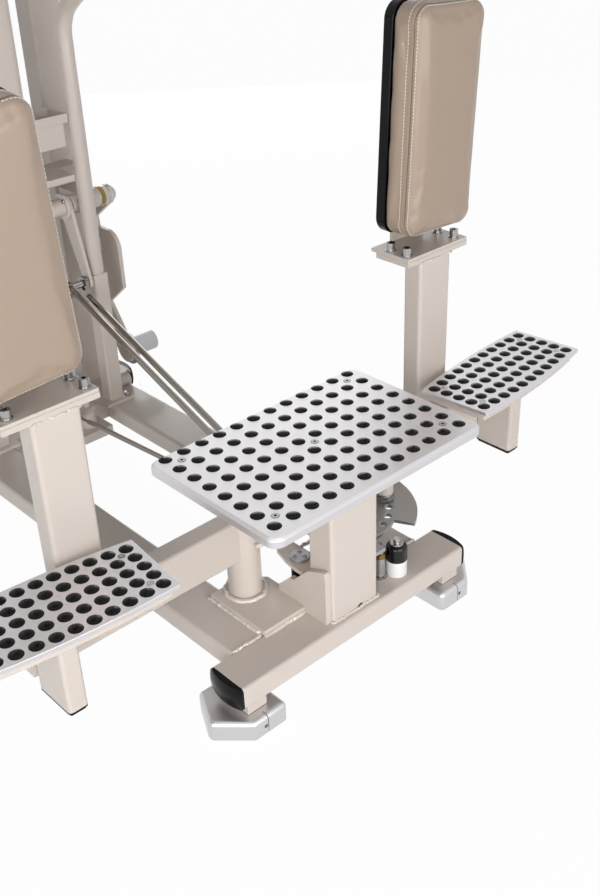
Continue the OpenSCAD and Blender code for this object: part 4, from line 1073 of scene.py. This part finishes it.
@dataclass
class CastFeet:
    """The four cast feet with their soft edges, clamp slits and set screw holes.

    Args:
        workshop: The workshop.
        outer: Distance of a foot's outer side from the machine's middle, in millimetres, as all lengths here.
        width: Width of a foot.
        plan: Corners of the outline, from the inner end corner.
        ends: Depth of each outer end, with the direction towards the machine.
        corner: Radius of the outline's corners.
        corner_steps: Steps in each corner.
        heel: Size of the small bevel on the floor.
        shoulder: Height at which the round shoulder starts.
        top: Height of the flat top.
        shoulder_inset: Width of the shoulder.
        shoulder_steps: Steps of the shoulder.
        block_x: Inner and outer side of the leg block, in the plan.
        block_y: Front and back side of the leg block, in the plan.
        gap_rise: Height of the gap's middle above the top.
        gap_radius: Radius of the line of painted shade in the gap.
        gap_sides: Number of sides of that line.
        slit_place: Middle of the clamp slit, in the plan and above the floor.
        slit_size: Size of the clamp slit.
        screw_place: Outer end of the set screw hole, in the plan and above the floor.
        screw_radius: Radius of that hole.
        screw_depth: Depth of that hole.
        screw_sides: Number of sides of that hole.
    """

    workshop: Workshop
    outer: float = 335.0
    width: float = 130.0
    plan: tuple[Pair, ...] = ((0, 0), (76, 0), (130, 54), (128, 66), (94, 132), (0, 132))
    ends: tuple[tuple[float, int], ...] = ((-132.0, 1), (1115.0, -1))
    corner: float = 10.0
    corner_steps: int = 6
    heel: float = 0.8
    shoulder: float = 30.0
    top: float = 39.0
    shoulder_inset: float = 9.0
    shoulder_steps: int = 7
    block_x: Pair = (27.3, 69.7)
    block_y: Pair = (24.3, 100.7)
    gap_rise: float = 0.1
    gap_radius: float = 0.9
    gap_sides: int = 6
    slit_place: Triple = (46.0, 6.0, 20.0)
    slit_size: Triple = (1.5, 16.0, 44.0)
    screw_place: Triple = (51.5, -2.0, 18.0)
    screw_radius: float = 3.8
    screw_depth: float = 12.0
    screw_sides: int = 24

    def build(self) -> None:
        """Builds all four feet as one piece, and the painted shade in the gaps about the leg blocks."""
        mesh, gaps = bmesh.new(), bmesh.new()
        for foot in self._feet():
            self._body(mesh, foot)
            self._gap(gaps, foot)
        feet = self.workshop.add("cast_feet_rounded", mesh, Paint.CAST, "frame")
        self._cut(feet)
        self.workshop.soften(feet, 0.0)
        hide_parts("cast_feet")
        # Dark lines of painted shade in the gaps between the feet and the leg blocks.
        self.workshop.add("leg_block_gap_shade", gaps, Paint.SEAM, "frame")

    def _feet(self) -> list[FootPlace]:
        """Gives the places of the four feet."""
        origin = self.outer - self.width
        return [FootPlace(side, origin, end, inward) for side, _ in SIDES for end, inward in self.ends]

    def _rounded(self, inset: float) -> list[Pair]:
        """Gives the foot's outline with round corners at some inset.

        Args:
            inset: Distance inside the full outline, in millimetres.

        Returns:
            The points in millimetres, going round once.
        """
        points = []
        for index, corner in enumerate(self.plan):
            here = Vector(corner)
            before = (here - Vector(self.plan[index - 1])).normalized()
            after = (Vector(self.plan[(index + 1) % len(self.plan)]) - here).normalized()
            start, finish = Vector((before.y, -before.x)), Vector((after.y, -after.x))
            middle = here - (start + finish) * self.corner / (1 + start.dot(finish))
            radius = self.corner - inset
            low, high = math.atan2(start.y, start.x), math.atan2(finish.y, finish.x)
            turn = (high - low) % FULL_TURN
            for step in range(self.corner_steps + 1):
                angle = low + turn * step / self.corner_steps
                points.append((middle.x + radius * math.cos(angle), middle.y + radius * math.sin(angle)))
        return points

    def _body(self, mesh: bmesh.types.BMesh, foot: FootPlace) -> None:
        """Adds one foot: straight sides, a round shoulder and a flat top.

        Args:
            mesh: The mesh that takes the foot.
            foot: Its place.
        """
        levels = [(self.heel, 0.0), (0.0, self.heel), (0.0, self.shoulder)]
        for step in range(1, self.shoulder_steps + 1):
            angle = math.radians(90 * step / self.shoulder_steps)
            inset = self.shoulder_inset * (1 - math.cos(angle))
            levels.append((inset, self.shoulder + (self.top - self.shoulder) * math.sin(angle)))
        Stack([[foot.point(x, y, z) for x, y in self._rounded(inset)] for inset, z in levels]).add_to(mesh)

    def _gap(self, mesh: bmesh.types.BMesh, foot: FootPlace) -> None:
        """Adds a dark line of painted shade in the gap between a foot's top and its leg block.

        Args:
            mesh: The mesh that takes the gap.
            foot: The foot's place.
        """
        (left, right), (front, back) = self.block_x, self.block_y
        corners = ((left, front), (right, front), (right, back), (left, back), (left, front))
        points = [foot.point(x, y, self.top + self.gap_rise) for x, y in corners]
        for start, finish in zip(points, points[1:]):
            PathTube([start, finish], self.gap_radius * MILLIMETRE, self.gap_sides).add_to(mesh)

    def _cut(self, feet: bpy.types.Object) -> None:
        """Cuts the clamp slits and the set screw holes.

        Args:
            feet: The feet.
        """
        mesh = bmesh.new()
        radius = self.screw_radius * MILLIMETRE
        hole = ((radius, 0.0), (radius, self.screw_depth * MILLIMETRE))
        for foot in self._feet():
            box = bmesh.ops.create_cube(mesh, size=1.0)["verts"]
            bmesh.ops.scale(mesh, vec=Vector(self.slit_size) * MILLIMETRE, verts=box)
            bmesh.ops.translate(mesh, vec=foot.point(*self.slit_place), verts=box)
            inward = Vector((0, foot.inward, 0))
            Turned(foot.point(*self.screw_place), inward, hole, self.screw_sides).add_to(mesh)
        bmesh.ops.recalc_face_normals(mesh, faces=mesh.faces[:])
        data = bpy.data.meshes.new("foot_cutter")
        mesh.to_mesh(data)
        mesh.free()
        cutter = bpy.data.objects.new("foot_cutter", data)
        bpy.context.scene.collection.objects.link(cutter)
        cut = feet.modifiers.new("cut", "BOOLEAN")
        cut.operation = "DIFFERENCE"
        cut.solver = "EXACT"
        cut.use_self = True
        cut.object = cutter
        Workshop.bake(feet)
        bpy.data.objects.remove(cutter)
        bpy.data.meshes.remove(data)


@dataclass
class Welds:
    """Weld beads that show at the joins of the painted frame.

    Args:
        workshop: The workshop.
        step: Distance between two ripples, in metres.
        wobble: The most that a ripple leaves the bead's line, in metres.
        sides: Number of sides of a bead.
        seed_step: Factor that keeps the seeds of different beads apart.
        plate_edge: Line of the bead round a pivot plate, in millimetres, as all places and radii here.
        plate_z: Height of that bead.
        plate_radius: Its radius.
        pivot: Place of a pivot.
        pivot_z: Height of the bead round the pivot's foot.
        pivot_ring: Radius of the line round the pivot's foot.
        pivot_radius: Radius of that bead.
        ring_steps: Steps of the line round the pivot's foot.
        beam_x: Ends of the bead between a beam and the cross tube.
        beam_y: Depth of that bead.
        beam_z: Its height.
        beam_radius: Its radius.
        post_foot: Line of the bead round the main post's foot.
        post_z: Height of that bead.
        post_radius: Its radius.
        post_side: Line of the bead between an arm bar and its post.
        post_side_radius: Its radius.
        stub: Line of the bead between an arm bar and its stub.
        neck: Corners of the bead under an arm post's top plate.
        neck_z: Height of that bead.
        arm_radius: Radius of the beads at the stub and the neck.
    """

    workshop: Workshop
    step: float = 0.0035
    wobble: float = 0.0013
    sides: int = 7
    seed_step: int = 1000
    plate_edge: tuple[Pair, ...] = ((64, -36), (150, -36), (170, -18), (170, 117), (60, 117))
    plate_z: float = 107.0
    plate_radius: float = 4.2
    pivot: Pair = (113, 81)
    pivot_z: float = 119.6
    pivot_ring: float = 38.5
    pivot_radius: float = 4.6
    ring_steps: int = 48
    beam_x: Pair = (171, 236)
    beam_y: float = -26.5
    beam_z: float = 105.6
    beam_radius: float = 3.6
    post_foot: tuple[Pair, ...] = ((58.5, -98), (58.5, -36), (-58.5, -36), (-58.5, -98), (58.5, -98))
    post_z: float = 106.8
    post_radius: float = 2.8
    post_side: tuple[Triple, ...] = ((386, 102, 204), (386, 102, 294), (386, 147.5, 294))
    post_side_radius: float = 1.8
    stub: tuple[Triple, ...] = ((525.5, 58, 206), (525.5, 58, 296))
    neck: tuple[Pair, ...] = ((386, 102.5), (474, 102.5), (474, 147.5), (386, 147.5), (386, 102.5))
    neck_z: float = 612.4
    arm_radius: float = 2.0

    def build(self) -> None:
        """Lays every bead."""
        for side, name in SIDES:
            mesh = bmesh.new()
            self._bead(mesh, [at(side * x, y, self.plate_z) for x, y in self.plate_edge], self.plate_radius)
            self._bead(mesh, self._ring(side), self.pivot_radius)
            self._bead(mesh, [at(side * x, self.beam_y, self.beam_z) for x in self.beam_x], self.beam_radius)
            self.workshop.add(f"{name}_frame_welds", mesh, Paint.WELD, "frame")
            self._arm(side, name)
        mesh = bmesh.new()
        self._bead(mesh, [at(x, y, self.post_z) for x, y in self.post_foot], self.post_radius)
        self.workshop.add("post_weld", mesh, Paint.WELD, "frame")

    def _arm(self, side: int, name: str) -> None:
        """Lays the beads of one arm.

        Args:
            side: -1 for the left arm and 1 for the right.
            name: Name of the side.
        """
        mesh = bmesh.new()
        self._bead(mesh, [at(side * x, y, z) for x, y, z in self.post_side], self.post_side_radius)
        self._bead(mesh, [at(side * x, y, z) for x, y, z in self.stub], self.arm_radius)
        self._bead(mesh, [at(side * x, y, self.neck_z) for x, y in self.neck], self.arm_radius)
        self.workshop.add(f"{name}_arm_welds", mesh, Paint.WELD, f"{name}_arm")

    def _ring(self, side: int) -> list[Vector]:
        """Gives the closed line round the foot of a pivot.

        Args:
            side: -1 for the left pivot and 1 for the right.

        Returns:
            The points in metres, the first one again at the end.
        """
        centre = at(side * self.pivot[0], self.pivot[1], self.pivot_z)
        turns = [FULL_TURN * index / self.ring_steps for index in range(self.ring_steps + 1)]
        reach = self.pivot_ring * MILLIMETRE
        return [centre + Vector((math.cos(turn), math.sin(turn), 0)) * reach for turn in turns]

    def _bead(self, mesh: bmesh.types.BMesh, corners: Sequence[Vector], radius: float) -> None:
        """Lays one rippled bead along a line.

        Args:
            mesh: The mesh that takes the bead.
            corners: The corners of the line.
            radius: Middle radius of the bead, in millimetres.
        """
        seed = len(corners) * self.seed_step + int(abs(corners[0].x) * self.seed_step)
        chance = random.Random(seed)
        points = []
        for start, end in zip(corners, corners[1:]):
            count = max(int((end - start).length / self.step), 1)
            for index in range(count):
                shake = Vector([chance.uniform(-1, 1) for _ in range(3)]) * self.wobble
                points.append(start.lerp(end, index / count) + shake)
        points.append(corners[-1].copy())
        PathTube(points, radius * MILLIMETRE, sides=self.sides).add_to(mesh)


@dataclass
class Fittings:
    """Makes the turned and cut pieces of a sub-assembly. All its lengths are in millimetres.

    Args:
        workshop: The workshop.
    """

    workshop: Workshop

    UP: ClassVar[Vector] = Vector((0, 0, 1))
    RIGHT: ClassVar[Vector] = Vector((1, 0, 0))

    def turned(
        self, name: str, base: Vector, axis: Vector, profile: Sequence[Pair], paint: Paint, body: str,
        sides: int = 40,
    ) -> None:
        """Makes one turned piece.

        Args:
            name: The piece's name.
            base: Point where the profile's height is zero, in metres.
            axis: Direction of the profile's height.
            profile: Pairs of radius and height, in millimetres.
            paint: The finish.
            body: The CAD body that it rides.
            sides: Number of sides.
        """
        mesh = bmesh.new()
        rings = [(radius * MILLIMETRE, height * MILLIMETRE) for radius, height in profile]
        Turned(base, axis, rings, sides).add_to(mesh)
        self.workshop.add(name, mesh, paint, body)

    def slab(self, name: str, near: Sequence[Vector], far: Sequence[Vector], bevel: float = 1.2) -> None:
        """Makes a painted plate of the frame between two outlines.

        Args:
            name: The piece's name.
            near: The points of one face, going round once.
            far: The matching points of the other face.
            bevel: Width of its bevelled edges, in millimetres.
        """
        mesh = bmesh.new()
        Stack((near, far)).add_to(mesh)
        self.workshop.add(name, mesh, Paint.CREAM, "frame", bevel * MILLIMETRE)


@dataclass
class LeverFittings(Fittings):
    """The brass ring, the end plate and the two bolt heads of the lever.

    Args:
        axis_y: Depth of the lever's shaft.
        axis_z: Height of the lever's shaft.
        ring_x: Where the brass ring starts.
        ring: Its profile.
        plate_x: Where the end plate starts.
        plate: Its profile.
        bolt_x: Where the bolt heads start.
        bolt_offset: Distance of a bolt from the shaft along the depth and along the height.
        head: Profile of a bolt head with its socket.
        head_sides: Number of sides of a bolt head.
    """

    axis_y: float = 952.0
    axis_z: float = 600.0
    ring_x: float = 216.0
    ring: tuple[Pair, ...] = ((21.5, 0), (23.4, 0.8), (23.4, 10.2), (21.5, 11))
    plate_x: float = 118.0
    plate: tuple[Pair, ...] = ((29.0, 0), (30.5, 1.5), (30.5, 6.5), (29.0, 8.0))
    bolt_x: float = 118.2
    bolt_offset: Pair = (17.0, 18.0)
    head: tuple[Pair, ...] = ((4.6, 0), (4.6, 4.2), (3.9, 5.0), (2.2, 5.0), (2.0, 3.0))
    head_sides: int = 24

    def build(self) -> None:
        """Builds the four pieces."""
        ring_base = at(self.ring_x, self.axis_y, self.axis_z)
        self.turned("lever_brass_ring", ring_base, self.RIGHT, self.ring, Paint.BRASS, "lever")
        plate_base = at(self.plate_x, self.axis_y, self.axis_z)
        self.turned("lever_end_plate", plate_base, self.RIGHT, self.plate, Paint.CREAM, "lever")
        for index, sign in enumerate((-1, 1)):
            y, z = self.axis_y + sign * self.bolt_offset[0], self.axis_z - sign * self.bolt_offset[1]
            base = at(self.bolt_x, y, z)
            name = f"lever_bolt_{index}"
            self.turned(name, base, -self.RIGHT, self.head, Paint.CHROME, "lever", self.head_sides)


@dataclass
class PullPinFittings(Fittings):
    """The nut and the collar under the pull pin's sleeve.

    Args:
        place: Place of the pin.
        nut_z: Height of the nut's underside.
        nut: Profile of the nut.
        nut_sides: Number of sides of the nut.
        collar_z: Height of the collar's underside.
        collar: Profile of the collar.
    """

    place: Pair = (213.0, 31.0)
    nut_z: float = 192.4
    nut: tuple[Pair, ...] = ((17.4, 0), (19.2, 0.7), (19.2, 8.8), (17.4, 9.6))
    nut_sides: int = 6
    collar_z: float = 202.4
    collar: tuple[Pair, ...] = ((17.2, 0), (18.4, 0.6), (18.4, 3.4), (17.2, 4.0))

    def build(self) -> None:
        """Builds the two pieces."""
        nut_base, collar_base = at(*self.place, self.nut_z), at(*self.place, self.collar_z)
        self.turned("pull_pin_nut", nut_base, self.UP, self.nut, Paint.CHROME, "right_arm", self.nut_sides)
        self.turned("pull_pin_collar", collar_base, self.UP, self.collar, Paint.CHROME, "right_arm")


@dataclass
class IndexPillar(Fittings):
    """The pillar under the index plate, with its foot, brass bush, nut and thread.

    Args:
        place: Middle of its foot on the plate.
        levels: Name, finish, number of sides and profile of each piece, from the foot to the thread.
    """

    place: Triple = (103.0, -59.0, 106.0)
    levels: tuple[tuple[str, Paint, int, tuple[Pair, ...]], ...] = (
        ("foot", Paint.CHROME, 32, ((15, 0), (15, 6), (13, 7))),
        ("body", Paint.SHAFT, 32, ((11.5, 7), (11.5, 46))),
        ("bush", Paint.BRASS, 32, ((12.2, 46), (13.2, 47), (13.2, 55), (12.2, 56))),
        ("nut", Paint.CHROME, 6, ((11.0, 56), (12.4, 57), (12.4, 65), (11.0, 66))),
        ("thread", Paint.CHROME, 24, ((6.0, 66), (6.0, 74), (5.2, 75))),
    )

    def build(self) -> None:
        """Builds the five pieces."""
        for name, paint, sides, profile in self.levels:
            self.turned(f"pillar_{name}", at(*self.place), self.UP, profile, paint, "frame", sides)


@dataclass
class RearBracket(Fittings):
    """The small plate behind the main post, with its round boss, stop and bolts.

    Args:
        outline: Outline of the plate.
        bottom_z: Height of the plate's underside.
        top_z: Height of its top.
        boss_place: Middle of the boss and the stop.
        boss: Profile of the boss.
        stop_z: Height of the stop's underside.
        stop: Profile of the stop.
        bolt_places: Places of the bolts.
        bolt_z: Height of the bolt heads' undersides.
        head: Profile of a bolt head with its socket.
        head_sides: Number of sides of a bolt head.
    """

    outline: tuple[Pair, ...] = ((-8, -38), (-8, 92), (-30, 86), (-48, 61), (-57, 28), (-62, 0), (-63, -38))
    bottom_z: float = 176.0
    top_z: float = 184.0
    boss_place: Pair = (-34.0, 14.0)
    boss: tuple[Pair, ...] = ((16.0, 0), (19.0, 1.0), (19.0, 5.5), (18.0, 6.5))
    stop_z: float = 138.0
    stop: tuple[Pair, ...] = ((15, 0), (17, 2), (17, 38))
    bolt_places: tuple[Pair, ...] = ((-43.0, 18.0), (-30.0, 4.0), (-27.0, 22.0))
    bolt_z: float = 190.4
    head: tuple[Pair, ...] = ((3.6, 0), (3.6, 3.4), (3.0, 4.0), (1.8, 4.0), (1.6, 2.2))
    head_sides: int = 20

    def build(self) -> None:
        """Builds the six pieces."""
        near = [at(x, y, self.bottom_z) for x, y in self.outline]
        self.slab("rear_bracket_plate", near, [at(x, y, self.top_z) for x, y in self.outline])
        boss_base, stop_base = at(*self.boss_place, self.top_z), at(*self.boss_place, self.stop_z)
        self.turned("rear_bracket_boss", boss_base, self.UP, self.boss, Paint.SHAFT, "frame")
        self.turned("rear_bracket_stop", stop_base, self.UP, self.stop, Paint.BLACK, "frame")
        for index, place in enumerate(self.bolt_places):
            base = at(*place, self.bolt_z)
            name = f"rear_bracket_bolt_{index}"
            self.turned(name, base, self.UP, self.head, Paint.CHROME, "frame", self.head_sides)


@dataclass
class PostCheek(Fittings):
    """The tall sloping cheek on the left of the main post.

    Args:
        outline: Pairs of depth and height.
        near_x: Place of the face on the post.
        far_x: Place of the outer face.
    """

    outline: tuple[Pair, ...] = (
        (-93, 106.6), (-93, 212), (-89, 219), (-83, 220), (-46, 205), (7, 150), (7, 118.4),
        (-39, 118.4), (-39, 106.6),
    )
    near_x: float = -57.8
    far_x: float = -70.5

    def build(self) -> None:
        """Builds the cheek."""
        near = [at(self.near_x, y, z) for y, z in self.outline]
        self.slab("post_cheek", near, [at(self.far_x, y, z) for y, z in self.outline])


@dataclass
class ScrewShade(Fittings):
    """The dark rim and the dark socket of each platform screw, painted shade in the countersink and in the
    recess.

    Args:
        reach: Distance of the outer screws from the middle, across and along the depth.
        rim_ring: Radius of the line of the rim.
        rim_z: Height of the rim.
        rim_radius: Radius of the line of painted shade.
        rim_steps: Steps of the rim.
        rim_sides: Number of sides of the dark line.
        socket_z: Height of the socket.
        socket: Profile of the socket.
        socket_sides: Number of sides of the socket.
    """

    reach: Pair = (200.0, 120.0)
    rim_ring: float = 6.7
    rim_z: float = 425.1
    rim_radius: float = 0.45
    rim_steps: int = 24
    rim_sides: int = 5
    socket_z: float = 425.5
    socket: tuple[Pair, ...] = ((2.7, 0.0), (2.7, 0.25))
    socket_sides: int = 6

    def build(self) -> None:
        """Builds all the painted shade as one piece."""
        mesh = bmesh.new()
        turns = [FULL_TURN * index / self.rim_steps for index in range(self.rim_steps)]
        socket = [(radius * MILLIMETRE, height * MILLIMETRE) for radius, height in self.socket]
        outer = [(across * self.reach[0], along * self.reach[1]) for across in (-1, 1) for along in (-1, 1)]
        for x, y in ((0.0, 0.0), *outer):
            ring = self.rim_ring
            rim = [at(x + ring * math.cos(turn), y + ring * math.sin(turn), self.rim_z) for turn in turns]
            PathTube(rim, self.rim_radius * MILLIMETRE, self.rim_sides, closed=True).add_to(mesh)
            Turned(at(x, y, self.socket_z), self.UP, socket, self.socket_sides).add_to(mesh)
        # Black rims and sockets painted as shade in the screw recesses.
        self.workshop.add("platform_screw_shade", mesh, Paint.BLACK, "frame")


def main() -> None:
    """Builds the scene in order."""
    logging.basicConfig(level=logging.INFO, format="%(message)s")
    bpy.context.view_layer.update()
    materials = Materials()
    workshop = Workshop(materials)
    Stage(materials).build()
    CadFrame(frame["nodes"], frame["record"], workshop).build()
    for side, name in SIDES:
        Cushion(workshop, side, name).build()
    CastFeet(workshop).build()
    Welds(workshop).build()
    for fittings in (LeverFittings, PullPinFittings, IndexPillar, RearBracket, PostCheek, ScrewShade):
        fittings(workshop).build()


if __name__ == "__main__":
    main()
